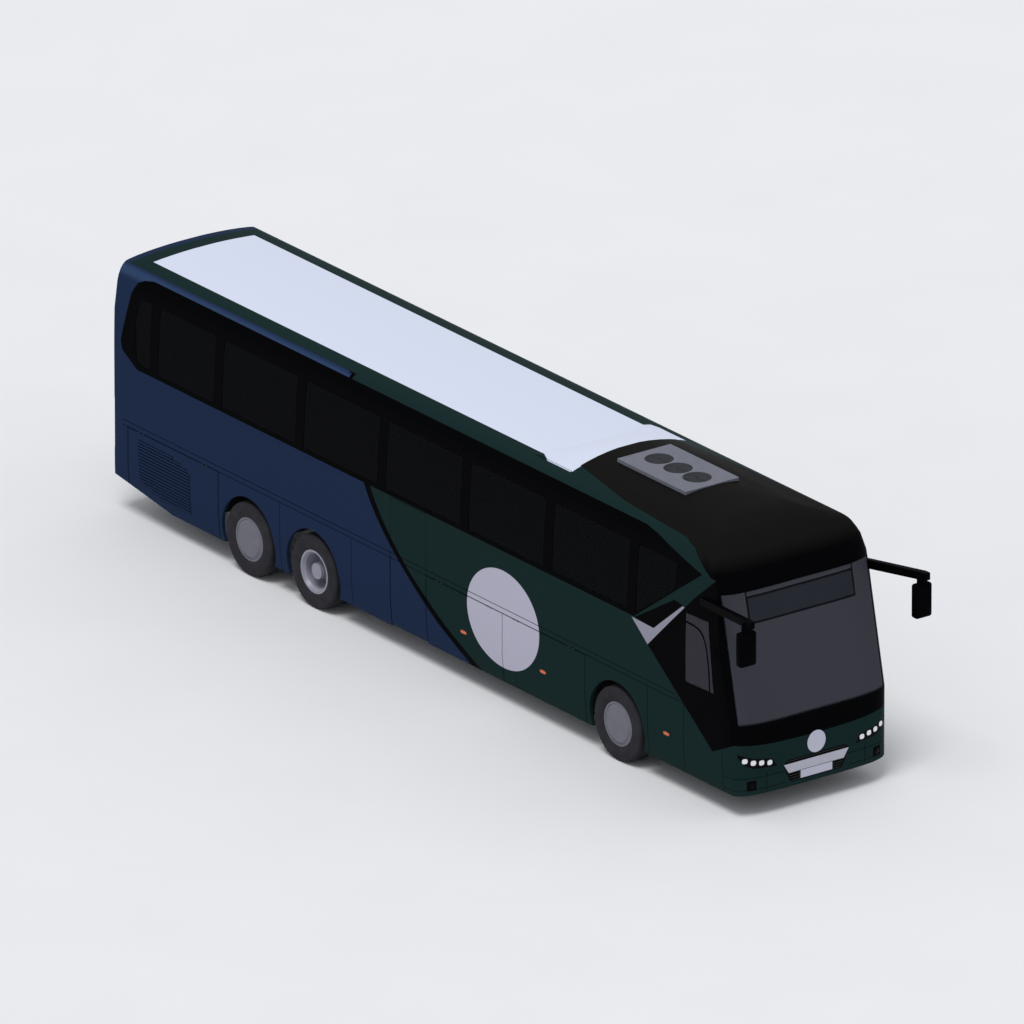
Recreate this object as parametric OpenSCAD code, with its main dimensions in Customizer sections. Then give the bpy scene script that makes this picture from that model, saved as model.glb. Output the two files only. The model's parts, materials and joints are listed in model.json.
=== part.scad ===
// Three-axle touring coach, right-hand drive, with its doors, flaps, steering and wheels.
// X runs across the coach with its left side at +X, Y runs from the front to the rear,
// Z is up from the ground. Lengths called "s" are measured back from the front face.

/* [Body] */
// Length over the body, without the mirrors
body_l = 14050; // [11600:10:16800]
// Width over the side walls
body_w = 2550; // [2400:10:3060]
// Height of the roof at its centre line
roof_h = 3610; // [3400:10:4300]
// Height of the front cap above the roof
cap_rise = 125; // [60:5:200]
// Height of the lower edge of the side walls
skirt_z = 310; // [280:5:360]
// Height of the lower edge at the rear end
rear_skirt_z = 530; // [480:5:600]
// Thickness of walls, doors and flaps
wall_t = 50; // [40:1:60]
// Thickness of the roof shell
roof_t = 60; // [50:1:80]
// How far the front face is rounded back at its corners
nose_d = 250; // [200:10:350]
// How far the rear face is rounded at its corners
tail_d = 130; // [100:10:250]
// Lean of the windscreen from upright, in degrees
screen_lean = 12.5; // [8:0.5:16]

/* [Deck] */
// Height of the top of the passenger deck
deck_z = 1360; // [1300:10:1500]
// Thickness of the deck
deck_t = 60; // [50:1:80]
// Height of the luggage floor
hold_z = 440; // [400:5:480]
// Thickness of bulkheads and stairwell plates
plate_t = 30; // [20:1:40]

/* [Axles and wheels] */
// Front face to front axle
front_overhang = 2680; // [2500:10:2900]
// Front axle to drive axle follows from the length; drive axle to tag axle
tag_spacing = 1465; // [1350:5:1700]
// Tag axle to the rear face
rear_overhang = 3145; // [2900:5:3400]
// Radius of the tyres
tyre_r = 522; // [480:1:560]
// Width of one tyre
tyre_w = 295; // [270:1:320]
// Outside radius of the rim barrel, where the tyre sits
rim_r = 290; // [270:1:300]
// Set-back of the tyre's outer face from the body side
tyre_inset = 4; // [0:1:60]
// Distance between the centres of twin tyres
twin_pitch = 345; // [330:1:370]
// Radius of the wheel arches
arch_r = 602; // [580:1:660]
// Kingpin to wheel centre
kingpin_offset = 125; // [110:1:150]
// Radius of the kingpins
kingpin_r = 20; // [16:1:26]
// Radius of the front stub axles
stub_r = 38; // [30:1:45]
// Radius of the rear spindles
spindle_r = 60; // [50:1:70]

/* [Windows] */
// Lower edge of the side panes
pane_z0 = 2240; // [2150:10:2300]
// Height of the side panes
pane_h = 960; // [700:10:1000]
// Pitch of the window pillars
pillar_pitch = 1845; // [1500:5:2220]
// Width of a window pillar
pillar_w = 190; // [150:5:230]
// Front face to the first full pillar
first_pillar = 2360; // [2250:10:2500]
// Rear face to the last pillar
last_pillar = 1005; // [850:5:1100]
// Thickness of the glass
glass_t = 12; // [8:1:20]

/* [Doors and flaps] */
// Front edge of the front door, from the front face
front_door_s = 620; // [600:5:700]
// Width of the front door
front_door_w = 900; // [800:10:1000]
// Width of the middle door
mid_door_w = 800; // [700:10:900]
// Drive axle to the rear edge of the middle door
mid_door_back = 1745; // [1650:5:1900]
// Height of the middle door's upper edge
mid_door_z1 = 2170; // [2000:10:2200]
// Height of the front door's upper edge
front_door_z1 = 2620; // [2500:10:2650]
// Gap round doors and flaps
door_gap = 8; // [6:0.5:10]
// Length of the door arms from pivot to pivot
door_arm = 360; // [330:5:400]
// Height of the flap hinge line
hinge_z = 1290; // [1250:5:1290]
// Front axle to the front edge of the first luggage flap
first_flap_s = 690; // [660:5:800]
// Length of the first luggage flap
first_flap_l = 1830; // [1500:10:2196]
// Tag axle to the front edge of the rear service flaps
service_flap_s = 675; // [650:5:800]
// Length of the rear service flaps
service_flap_l = 2050; // [1700:10:2050]
// Radius of the hinge pins
hinge_pin_r = 3; // [2.5:0.1:4]

/* [Seats] */
// Distance from one seat row to the next
seat_pitch = 800; // [720:10:960]
// Width of one seat
seat_w = 450; // [400:5:470]
// Width of the aisle
aisle_w = 440; // [380:5:520]

/* [Mirrors and mounts] */
// Reach of the mirrors ahead of the front face
mirror_reach = 500; // [400:10:600]
// Width over the mirrors beyond each side wall
mirror_out = 305; // [250:5:360]
// Radius of the towing bores
tow_r = 21; // [16:0.5:26]
// Depth of the front towing socket
tow_l = 80; // [60:1:110]

/* [Hidden] */

seat_fit = 0.3;                        // gap between fixed pieces that sit on each other
half_w = body_w / 2;
inner_w = half_w - wall_t;
far = 20000;                           // longer than anything on the coach
front_s = front_overhang;
tag_s = body_l - rear_overhang;
drive_s = tag_s - tag_spacing;
knuckle_r = hinge_pin_r + 3;           // the hinge knuckles stand out this far
origin_s = (body_l + knuckle_r - mirror_reach) / 2;

cant_z = roof_h - 410;                 // where the side starts to turn into the roof
cant_w = 200;                          // width of that turn
waist_z = 2100;                        // where the side starts to lean in
side_lean = 55;                        // how far it leans in by cant_z
tuck = 35;                             // how far the skirt tucks in
tuck_z = 700;
crown = 60;                            // camber of the roof
screen_z0 = 1290;                      // lower edge of the windscreen
screen_z1 = cant_z - 170;              // upper edge of the windscreen
screen_half = half_w - 75;
split_z = cant_z + 190;                // joint between the walls and the roof
nose_split = 450;                      // joint between the front panel and the side walls
tail_split = body_l - 330;             // joint between the walls and the rear panel
cap_end = 4120;                        // rear edge of the front cap
fairing_end = 4970;
corner_steps = 9;

mid_door_s = drive_s - mid_door_back - mid_door_w;
flap_s = [front_s + first_flap_s, front_s + first_flap_s + first_flap_l, mid_door_s];
service_s = tag_s + service_flap_s;
service_end = min(service_s + service_flap_l, tail_split - 40);
wheel_x = half_w - tyre_inset - tyre_w / 2;
kingpin_x = wheel_x - kingpin_offset;
rail_z = 740;                          // underside of the front and rear frame rails
rail_h = 200;
rail_x = 360;                          // inner face of the rear rails
front_rail_x = 180;                    // inner face of the front rails, clear of the front steps
rail_w = 120;

module place() translate([0, -origin_s, 0]) children();
module mirrored() { children(); mirror([1, 0, 0]) children(); }
// A box from its lowest to its highest corner
module block(a, b) translate(a) cube(b - a);
// Extrude an outline drawn in (s, z) across the coach from x0 to x1
module across(x0, x1) translate([x0, 0, 0]) rotate([90, 0, 90]) linear_extrude(x1 - x0) children();
// Extrude an outline drawn in (x, z) along the coach from s0 to s1
module along(s0, s1) translate([0, s1, 0]) rotate([90, 0, 0]) linear_extrude(s1 - s0) children();
// A round bar along X
module bar_x(x0, x1, r, s = 0, z = 0) translate([x0, s, z]) rotate([0, 90, 0]) cylinder(h = x1 - x0,
  r = r, $fn = 48);
module bar_y(s0, s1, r, x = 0, z = 0) translate([x, s0, z]) rotate([-90, 0, 0]) cylinder(h = s1 - s0,
  r = r, $fn = 48);
module bar_z(z0, z1, r, x = 0, s = 0) translate([x, s, z0]) cylinder(h = z1 - z0, r = r, $fn = 48);

// ---- outer form of the body ----

// In the middle the front cap stands higher than the roof by "rise"
function side_half(t, rise) = concat(
  [[half_w - tuck - t, skirt_z - 400], [half_w - tuck - t, skirt_z], [half_w - t, tuck_z]],
  [for (i = [0:4]) let (k = i / 4) [half_w - t - side_lean * k * k, waist_z + (cant_z - waist_z) * k]],
  [for (a = [15:15:90]) [half_w - side_lean - cant_w + (cant_w - t) * cos(a),
    cant_z + (roof_h - crown - cant_z - t) * sin(a)]],
  [for (k = [0.84, 0.67, 0.5, 0.33, 0.17]) [(half_w - side_lean - cant_w) * k,
    roof_h + rise - t - (crown + rise) * k * k]]);
function mirror_points(p) = [for (i = [len(p) - 1:-1:0]) [-p[i][0], p[i][1]]];
module section(t, rise) polygon(concat(side_half(t, rise), mirror_points(side_half(t, rise))));

// Plan outline: front corners and rear corners rounded as superellipses, flat in the middle.
// The half width is w - t, so that each leaning prism can have its corners a little apart from the next
plan_w = half_w + 4;
function corner(a) = cos(90 / corner_steps) - cos(a);
function nose_pts(t, w) = [for (i = [1:corner_steps]) let (a = 90 * i / corner_steps)
  [(w - t) * pow(sin(a), 0.42), t + nose_d * corner(a)]];
function tail_pts(t, w) = [for (i = [corner_steps:-1:1]) let (a = 90 * i / corner_steps)
  [(w - t) * pow(sin(a), 0.4), body_l - t - tail_d * corner(a)]];
function half_plan(t, w, lead, trail) = concat(lead ? nose_pts(t, w) : [[w - t, -far]],
  trail ? tail_pts(t, w) : [[w - t, far]]);
module plan(t, w, lead = true, trail = true) {
  half = half_plan(t, w, lead, trail);
  polygon(concat(half, mirror_points(half)));
}
// A prism of the plan outline that leans back by "lean" degrees from a line at height z on the front face
module leaning(t, w, lean, s, z) translate([0, s, z]) rotate([-lean, 0, 0]) translate([0, 0, -far])
  linear_extrude(2 * far) plan(t, w, true, false);

// Height, set-back and lean of each step of the front profile above the windscreen
nose_steps = [[screen_lean, screen_z0, 0], [32, screen_z1 + 120, 0], [52, screen_z1 + 360, 0],
  [72, screen_z1 + 520, 0],
  [84, screen_z1 + 610, 0]];
function nose_back(i) = i == 0 ? 0 : nose_back(i - 1)
  + (nose_steps[i][1] - nose_steps[i - 1][1]) * tan(nose_steps[i - 1][0]);

module form(t, rise = 0) intersection() {
  along(-100, body_l + 100) section(t, rise);
  translate([0, 0, -100]) linear_extrude(5000) plan(t, plan_w);
  intersection_for (i = [0:len(nose_steps) - 1])
    leaning(t, plan_w + 3 * (i + 1), nose_steps[i][0], nose_back(i), nose_steps[i][1]);
  translate([0, body_l, 2900]) rotate([6, 0, 0]) translate([0, -body_l, -far / 2])
    linear_extrude(far) plan(t, plan_w + 3, false, true);
  across(-2000, 2000) polygon([[-200, skirt_z - t], [body_l - 1400, skirt_z - t],
    [body_l + 200, rear_skirt_z + 30 - t],
    [body_l + 200, 5000], [-200, 5000]]);
}
module shell(t0, t1, rise = 0) difference() { form(t0, rise); form(t1, rise); }

// ---- outlines of windows, lamps and panels ----

// Move every edge of an anticlockwise outline inwards by d
function shrink(p, d) = [for (i = [0:len(p) - 1])
  let (a = p[(i + len(p) - 1) % len(p)], b = p[i], c = p[(i + 1) % len(p)],
    u = (b - a) / norm(b - a), v = (c - b) / norm(c - b),
    m = [-u[1], u[0]], n = [-v[1], v[0]]) b + (m + n) * d / (1 + m * n)];

pane_z1 = pane_z0 + pane_h;
body_pillars = concat([for (s = first_pillar; s < body_l - last_pillar - 600; s = s + pillar_pitch) s],
  [body_l - last_pillar]);
half_pillar = pillar_w / 2;
full_panes = [for (i = [0:len(body_pillars) - 2]) let (a = body_pillars[i] + half_pillar,
  b = body_pillars[i + 1] - half_pillar) [[a, pane_z0], [b, pane_z0], [b, pane_z1], [a, pane_z1]]];
front_pane = let (s = first_pillar - half_pillar)
  [[s, pane_z0 + 10], [s, pane_z1], [s - 850, pane_z1], [s - 800, pane_z0 + 560]];
rear_pane = let (s = body_l - last_pillar + half_pillar)
  [[s, pane_z0], [s + 300, pane_z0 + 60], [s + 350, pane_z1 - 300], [s + 270, pane_z1], [s, pane_z1]];
side_panes = concat([front_pane], full_panes, [rear_pane]);
driver_pane = [[560, 1640], [1180, 1620], [1180, 2590], [690, 2610]];
front_door_pane = let (a = front_door_s + 110, b = front_door_s + front_door_w - 110)
  [[a, 1450], [b, 1450], [b, front_door_z1 - 110], [a + 60, front_door_z1 - 110]];
screen = [[-screen_half, screen_z0], [screen_half, screen_z0], [screen_half, screen_z1],
  [-screen_half, screen_z1]];
rear_pane_outline = [[-980, 2300], [980, 2300], [900, 3120], [-900, 3120]];
lamp_outline = [[640, 655], [1000, 680], [1130, 740], [1205, 850], [1213, 905], [1120, 865],
  [1000, 825], [720, 775]];
tail_outline = [[1050, 900], [1300, 900], [1300, 1640], [1050, 1560]];
grille_outline = [[-420, 370], [420, 370], [550, 635], [470, 690], [-470, 690], [-550, 635]];
cap_s0 = nose_split + 500;
cap_s1 = nose_split + 900;
engine_door_z0 = rear_skirt_z + 90;
engine_door_z1 = 1560;
engine_door_x = 950;
hinge_rise = 8;                        // hinge line to the edge of the panel above
engine_hinge_z = engine_door_z1 - hinge_rise;

// ---- side walls, drawn on the left side ----

module wall_outline() polygon([[nose_split, 0], [tail_split, 0], [tail_split, split_z], [cap_s1, split_z],
  [cap_s0, screen_z1], [-200, screen_z1], [-200, screen_z0], [nose_split, screen_z0]]);
module door_cut(s, w, z1) block([inner_w - 400, s, 0], [far, s + w, z1]);
wall_joints = [front_door_s + 1, front_door_s + front_door_w - 1 - seat_fit, mid_door_s + 1,
  mid_door_s + mid_door_w - 1 - seat_fit];
sill_z = hinge_z + hinge_rise - 1;     // joint between the upper panels and the skirt
module side_wall(panes, flaps) difference() {
  intersection() {
    shell(0, wall_t);
    across(0, far) wall_outline();
  }
  along(-300, 1100) polygon([[0, screen_z0 - 50], [screen_half, screen_z0 - 50],
    [screen_half, screen_z1 + 50],
    [0, screen_z1 + 50]]);
  for (p = panes) across(0, far) polygon(p);
  for (s = [front_s, drive_s, tag_s]) bar_x(0, far, arch_r, s, tyre_r);
  for (f = flaps) door_cut(f[0], f[1] - f[0], hinge_z + hinge_rise);
  for (s = wall_joints) door_cut(s, seat_fit, far);
  block([inner_w - 400, wall_joints[0], sill_z - seat_fit], [far, far, sill_z]);
}
right_flaps = [[flap_s[0], flap_s[1]], [flap_s[1], flap_s[2]], [service_s, service_end]];
left_flap_end = mid_door_s + mid_door_w + 880;
left_flaps = [[flap_s[0], flap_s[1]], [flap_s[1], flap_s[2]], [flap_s[2], left_flap_end],
  [service_s, service_end]];

module right_wall() color("#263d5c") place() mirror([1, 0, 0]) difference() {
  side_wall(concat(side_panes, [driver_pane]), right_flaps);
  door_cut(mid_door_s, mid_door_w, mid_door_z1);
}
module left_wall() color("#263d5c") place() difference() {
  side_wall(side_panes, left_flaps);
  door_cut(front_door_s, front_door_w, front_door_z1);
}
module roof() color("#d7dbee") place() intersection() {
  shell(0, roof_t);
  block([-far, cap_end, split_z + seat_fit], [far, body_l + 200, 5000]);
}
fairing_x = 930;                       // the fairing's half width, where it still stands proud of the roof
module roof_fairing() color("#e6e8f2") place() intersection() {
  difference() { form(0, cap_rise); form(-seat_fit, 0); }
  across(-fairing_x, fairing_x) polygon([[cap_end + seat_fit, split_z + 30], [fairing_end, split_z + 30],
    [fairing_end, roof_h - crown + 5], [cap_end + 160, roof_h + cap_rise - 12],
    [cap_end + seat_fit, roof_h + cap_rise + 10]]);
}
unit_x = 440;
unit_s0 = 2280;
unit_s1 = 3780;
unit_top = roof_h + cap_rise + 12;
module front_cap() color("#1c1b1a") place() difference() {
  intersection() {
    shell(0, roof_t, cap_rise);
    across(-far, far) polygon([[-300, screen_z1 + seat_fit], [cap_s0, screen_z1 + seat_fit],
      [cap_s1, split_z + seat_fit], [cap_end, split_z + seat_fit], [cap_end, 5000], [-300, 5000]]);
  }
  block([-unit_x - seat_fit, unit_s0 - seat_fit, 3000], [unit_x + seat_fit, unit_s1 + seat_fit, 5000]);
}
module roof_unit() color("#70727d") place() difference() {
  block([-unit_x, unit_s0, unit_top - 110], [unit_x, unit_s1, unit_top]);
  for (i = [-1:1]) bar_z(unit_top - 60, unit_top + 1, 195, 0, (unit_s0 + unit_s1) / 2 + 415 * i);
}

module front_panel() color("#142c30") place() difference() {
  intersection() {
    shell(0, wall_t);
    across(-far, far) polygon([[-300, 0], [nose_split - seat_fit, 0],
      [nose_split - seat_fit, screen_z0 - seat_fit],
      [-300, screen_z0 - seat_fit]]);
  }
  mirrored() along(-300, 800) polygon(lamp_outline);
  along(-300, 800) polygon(grille_outline);
}
module headlights() color("#101014") place() mirrored() intersection() {
  shell(4, wall_t);
  along(-300, 700) polygon(shrink(lamp_outline, seat_fit));
  block([0, 0, 0], [far, nose_split - 1, 2000]);
}
module front_grille() color("#0a0a0c") place() intersection() {
  shell(10, wall_t);
  along(-300, 700) polygon(shrink(grille_outline, seat_fit));
}
module rear_panel() color("#263d5c") place() difference() {
  intersection() {
    shell(0, wall_t);
    block([-far, tail_split + seat_fit, 0], [far, body_l + 200, split_z]);
  }
  along(body_l - 290, body_l + 100) polygon(rear_pane_outline);
  mirrored() along(body_l - 290, body_l + 100) polygon(tail_outline);
  block([-engine_door_x, body_l - 200, engine_door_z0], [engine_door_x, body_l + 100, engine_door_z1]);
}
module tail_lamps() color("#7a1414") place() mirrored() intersection() {
  shell(2, wall_t);
  along(body_l - 290 + seat_fit, body_l + 100) polygon(shrink(tail_outline, seat_fit));
}

// ---- glass ----

module windscreen() color("#36373e") place() intersection() {
  shell(4, 4 + glass_t);
  along(-300, 1100) polygon(shrink(screen, seat_fit));
}
module side_glass(panes) intersection() {
  shell(6, 6 + glass_t);
  for (p = panes) across(0, far) polygon(shrink(p, seat_fit));
}
module right_windows() color("#0e0f11") place() mirror([1, 0, 0]) side_glass(concat(side_panes,
  [driver_pane]));
module left_windows() color("#0e0f11") place() side_glass(side_panes);
module front_door_glass() color("#0e0f11") place() side_glass([front_door_pane]);
module rear_window() color("#0e0f11") place() intersection() {
  shell(4, 4 + glass_t);
  along(body_l - 290 + seat_fit, body_l + 100) polygon(shrink(rear_pane_outline, seat_fit));
}

// ---- flaps and their hinges ----

hinge_inset = 300;                     // end of a flap to the middle of its hinge
module flap_knuckle(s) difference() {
  union() {
    bar_y(s - 30, s + 30, knuckle_r, half_w, hinge_z);
    block([half_w - knuckle_r, s - 30, hinge_z - hinge_rise - 4], [half_w, s + 30, hinge_z]);
  }
  bar_y(s - 31, s + 31, hinge_pin_r + seat_fit, half_w, hinge_z);
}
module wall_knuckle(s) {
  bar_y(s - 62, s + 62, hinge_pin_r, half_w, hinge_z);
  for (a = [s - 61, s + 31]) {
    bar_y(a, a + 30, knuckle_r, half_w, hinge_z);
    block([half_w - knuckle_r, a, hinge_z], [half_w, a + 30, hinge_z + hinge_rise - seat_fit]);
  }
}
module flap(f) place() {
  intersection() {
    shell(0, wall_t);
    block([0, f[0] + door_gap, 0], [far, f[1] - door_gap, hinge_z - hinge_rise]);
  }
  for (s = [f[0] + hinge_inset, f[1] - hinge_inset]) flap_knuckle(s);
}
module right_flap_front() color("#1c3035") mirror([1, 0, 0]) flap(right_flaps[0]);
module right_flap_rear() color("#1c3035") mirror([1, 0, 0]) flap(right_flaps[1]);
module right_service_flap() color("#263d5c") mirror([1, 0, 0]) flap(right_flaps[2]);
module left_flap_front() color("#1c3035") flap(left_flaps[0]);
module left_flap_middle() color("#1c3035") flap(left_flaps[1]);
module left_flap_rear() color("#263d5c") flap(left_flaps[2]);
module left_service_flap() color("#263d5c") flap(left_flaps[3]);

engine_hinge_x = 500;
module engine_door() color("#263d5c") place() {
  intersection() {
    shell(0, wall_t);
    block([-engine_door_x + door_gap, body_l - 200, engine_door_z0 + door_gap],
      [engine_door_x - door_gap, body_l + 10, engine_hinge_z - hinge_rise]);
  }
  for (x = [-engine_hinge_x, engine_hinge_x]) difference() {
    union() {
      bar_x(x - 30, x + 30, knuckle_r, body_l, engine_hinge_z);
      block([x - 30, body_l - 10, engine_hinge_z - hinge_rise - 4], [x + 30, body_l, engine_hinge_z]);
    }
    bar_x(x - 31, x + 31, hinge_pin_r + seat_fit, body_l, engine_hinge_z);
  }
}
module hinge_pins() color("#8a8d92") place() {
  mirror([1, 0, 0]) for (f = right_flaps, s = [f[0] + hinge_inset, f[1] - hinge_inset]) wall_knuckle(s);
  for (f = left_flaps, s = [f[0] + hinge_inset, f[1] - hinge_inset]) wall_knuckle(s);
  for (x = [-engine_hinge_x, engine_hinge_x]) {
    bar_x(x - 62, x + 62, hinge_pin_r, body_l, engine_hinge_z);
    for (a = [x - 61, x + 31]) {
      bar_x(a, a + 30, knuckle_r, body_l, engine_hinge_z);
      block([a, body_l - 10, engine_hinge_z], [a + 30, body_l, engine_hinge_z + hinge_rise - seat_fit]);
    }
  }
}

// ---- doors that swing out and stay parallel to the wall ----

pivot_x = half_w - 130;                // arm pivots, inboard of the skin
pivot_back = 220;                      // leading jamb to the arm's fixed pivot
pivot_r = 10;
arm_z = [520, 1180];                   // the two arms of a door
arm_h = 30;
step_z = 410;                          // top of the lowest step
shaft_z1 = 1240;
front_pivot_s = front_door_s + pivot_back;
mid_pivot_s = mid_door_s + mid_door_w - pivot_back;

// The arm runs from its fixed pivot away from the leading jamb; dir is +1 when the door moves to the rear
module door_arm(s, dir) let (q = s - dir * door_arm) place() difference() {
  union() {
    bar_z(step_z + seat_fit, shaft_z1, 18, pivot_x, s);
    for (z = arm_z) {
      block([pivot_x - 12, min(s, q), z], [pivot_x + 12, max(s, q), z + arm_h]);
      bar_z(z, z + arm_h, 24, pivot_x, q);
    }
  }
  bar_z(step_z - 1, step_z + 26, pivot_r + seat_fit, pivot_x, s);
  bar_z(shaft_z1 - 26, shaft_z1 + 1, pivot_r + seat_fit, pivot_x, s);
  for (z = arm_z) bar_z(z - 1, z + arm_h + 1, pivot_r + seat_fit, pivot_x, q);
}
// Bracket and pin on the door for the free end of each arm
module door_brackets(q) for (z = arm_z) {
  block([pivot_x - 20, q - 20, z + arm_h + 1], [inner_w + 10, q + 20, z + arm_h + 21]);
  bar_z(z - 3, z + arm_h + 5, pivot_r, pivot_x, q);
}
module door_leaf(s, w, z1) intersection() {
  shell(0, wall_t);
  block([0, s + door_gap, skirt_z + 20], [far, s + w - door_gap, z1 - door_gap]);
}
module front_door() color("#142c30") place() union() {
  difference() {
    door_leaf(front_door_s, front_door_w, front_door_z1);
    across(0, far) polygon(front_door_pane);
  }
  door_brackets(front_pivot_s + door_arm);
}
module mid_door() color("#263d5c") place() mirror([1, 0, 0]) union() {
  door_leaf(mid_door_s, mid_door_w, mid_door_z1);
  door_brackets(mid_pivot_s - door_arm);
}
module front_door_arm() color("#3a3c40") door_arm(front_pivot_s, -1);
module mid_door_arm() color("#3a3c40") mirror([1, 0, 0]) door_arm(mid_pivot_s, 1);

// Steps between two side plates, with the bearings of the door arm
step_x = [inner_w - tuck - 10, 900, 640, 350];
step_rise = 290;
deck_bottom = deck_z - deck_t;
module stairs(s0, s1, pivot_s, dir) let (jamb = (dir > 0 ? s1 : s0) - dir * seat_fit) {
  for (i = [0:2]) {
    tread_z = step_z + i * step_rise;
    block([step_x[i + 1], s0 + seat_fit, tread_z - plate_t], [step_x[i], s1 - seat_fit, tread_z]);
    block([step_x[i + 1] - plate_t, s0 + seat_fit, tread_z - plate_t],
      [step_x[i + 1] - seat_fit, s1 - seat_fit, (i < 2 ? tread_z + step_rise - plate_t : deck_bottom) - seat_fit]);
  }
  for (s = [s0 - plate_t, s1])
    block([step_x[3] - plate_t, s, step_z - plate_t], [step_x[0], s + plate_t, deck_bottom - seat_fit]);
  bar_z(step_z + seat_fit, step_z + 22, pivot_r, pivot_x, pivot_s);
  bar_z(shaft_z1 - 20, shaft_z1 + 10, pivot_r, pivot_x, pivot_s);
  block([pivot_x - 25, min(jamb, pivot_s - 25), shaft_z1 + seat_fit],
    [pivot_x + 25, max(jamb, pivot_s + 25), shaft_z1 + 25]);
}
module stairwells() color("#4a4d52") place() {
  stairs(front_door_s + 2, front_door_s + front_door_w - 2, front_pivot_s, -1);
  mirror([1, 0, 0]) stairs(mid_door_s + 2, mid_door_s + mid_door_w - 2, mid_pivot_s, 1);
}

// ---- deck ----

platform_z = rail_z + rail_h + plate_t + seat_fit;
deck_s = front_door_s + front_door_w + plate_t + 20;
platform_x = step_x[3] - plate_t - seat_fit;
module cabin_floor() color("#5a5d60") place() intersection() {
  form(wall_t + seat_fit);
  union() {
    block([-far, deck_s, deck_bottom], [far, mid_door_s + 1, deck_z]);
    block([-step_x[3], mid_door_s + 1 + seat_fit, deck_bottom],
      [far, mid_door_s + mid_door_w - 1 - seat_fit, deck_z]);
    block([-far, mid_door_s + mid_door_w - 1, deck_bottom], [far, body_l, deck_z]);
    block([-far, deck_s, platform_z + seat_fit], [platform_x, deck_s + plate_t, deck_bottom - seat_fit]);
    block([-far, 0, platform_z - plate_t], [platform_x, deck_s + plate_t, platform_z]);
  }
}

// ---- underframe ----

bulkhead_x = inner_w - tuck - 10;
front_bulkhead = flap_s[0] - plate_t;
rear_bulkhead = drive_s - arch_r - 60;
service_bulkhead = tag_s + arch_r + 40;
stair_s = [mid_door_s - plate_t, mid_door_s + mid_door_w + plate_t];
jack_x = 900;
jack_r = 50;
tow_x = front_rail_x + rail_w / 2;
tow_z = skirt_z - tow_r - 25;
tow_s = 200;
hitch_s = body_l - 260;
hitch_z = [430, 500];
end_s = body_l - 440;                  // front face of the rear cross member
module chassis() color("#35383c") place() {
  mirrored() {
    block([front_rail_x, 580 + seat_fit, rail_z], [front_rail_x + rail_w, front_bulkhead - seat_fit,
      rail_z + rail_h]);
    block([rail_x, rear_bulkhead + seat_fit, rail_z], [rail_x + rail_w, end_s - seat_fit, rail_z + rail_h]);
    for (s = [front_bulkhead + plate_t / 2, rear_bulkhead - plate_t / 2])
      bar_z(hold_z - plate_t - 30, hold_z - plate_t - seat_fit, jack_r, jack_x, s);
  }
  block([-600, 500, rail_z], [600, 580, rail_z + rail_h]);
  block([-inner_w + 150, end_s, rail_z], [inner_w - 150, end_s + 80, rail_z + rail_h]);
  for (s = [front_bulkhead, flap_s[1] - plate_t / 2, rear_bulkhead - plate_t])
    block([-bulkhead_x, s, hold_z + seat_fit], [bulkhead_x, s + plate_t, deck_bottom - seat_fit]);
  for (s = [stair_s[0] - plate_t - 1, stair_s[1] + 1])
    block([-bulkhead_x, s, hold_z + seat_fit], [-step_x[3] + plate_t, s + plate_t, deck_bottom - seat_fit]);
  block([-bulkhead_x, service_bulkhead, rail_z + rail_h + seat_fit],
    [bulkhead_x, service_bulkhead + plate_t, deck_bottom - seat_fit]);
  block([-bulkhead_x, front_bulkhead, hold_z - plate_t], [bulkhead_x, stair_s[0] - 1, hold_z]);
  block([-step_x[3] + plate_t + 1, stair_s[0] - 1 + seat_fit, hold_z - plate_t],
    [bulkhead_x, stair_s[1] + 1 - seat_fit, hold_z]);
  block([-bulkhead_x, stair_s[1] + 1, hold_z - plate_t], [bulkhead_x, rear_bulkhead, hold_z]);
  tow_socket();
  tow_jaw();
}
module tow_socket() difference() {
  union() {
    block([-tow_x - 30, tow_s + 20, tow_z], [-tow_x + 30, tow_s + tow_l - 5, rail_z + 60]);
    block([-tow_x - 30, tow_s + 20, rail_z], [-tow_x + 30, 500 - seat_fit, rail_z + 60]);
    bar_y(tow_s, tow_s + tow_l, tow_r + 17, -tow_x, tow_z);
  }
  bar_y(tow_s - 1, tow_s + tow_l - 10, tow_r, -tow_x, tow_z);
}
module tow_jaw() difference() {
  union() {
    block([-60, end_s, hitch_z[0]], [60, end_s + 80, rail_z - seat_fit]);
    for (z = hitch_z) block([-60, end_s, z], [60, hitch_s + 60, z + 25]);
  }
  bar_z(hitch_z[0] - 1, hitch_z[1] + 26, tow_r, 0, hitch_s);
}
housing_x = 552;
housing_t = 8;
module housing(s0, s1) {
  top_z = deck_bottom - seat_fit - housing_t;
  block([housing_x, s0, top_z], [inner_w - seat_fit, s1, top_z + housing_t]);
  block([housing_x, s0, tuck_z], [housing_x + housing_t, s1, top_z - seat_fit]);
  for (s = [s0, s1 - housing_t])
    block([housing_x + housing_t + seat_fit, s, tuck_z],
      [inner_w - seat_fit, s + housing_t, top_z - seat_fit]);
}
module wheel_housings() color("#1a1a1c") place() mirrored() {
  housing(front_s - arch_r - 58, front_s + arch_r + 58);
  housing(drive_s - arch_r - 22, tag_s + arch_r + 22);
}
engine_s = body_l - 1890;
engine_l = 1250;
module engine() color("#45484c") place() union() {
  block([-rail_x + 20, engine_s, 480], [rail_x - 20, engine_s + engine_l, 1240]);
  for (s = [engine_s + 150, engine_s + engine_l - 250])
    block([-rail_x - 60, s, rail_z + rail_h + seat_fit], [rail_x + 60, s + 100, rail_z + rail_h + 40]);
}

// ---- axles ----

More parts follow.
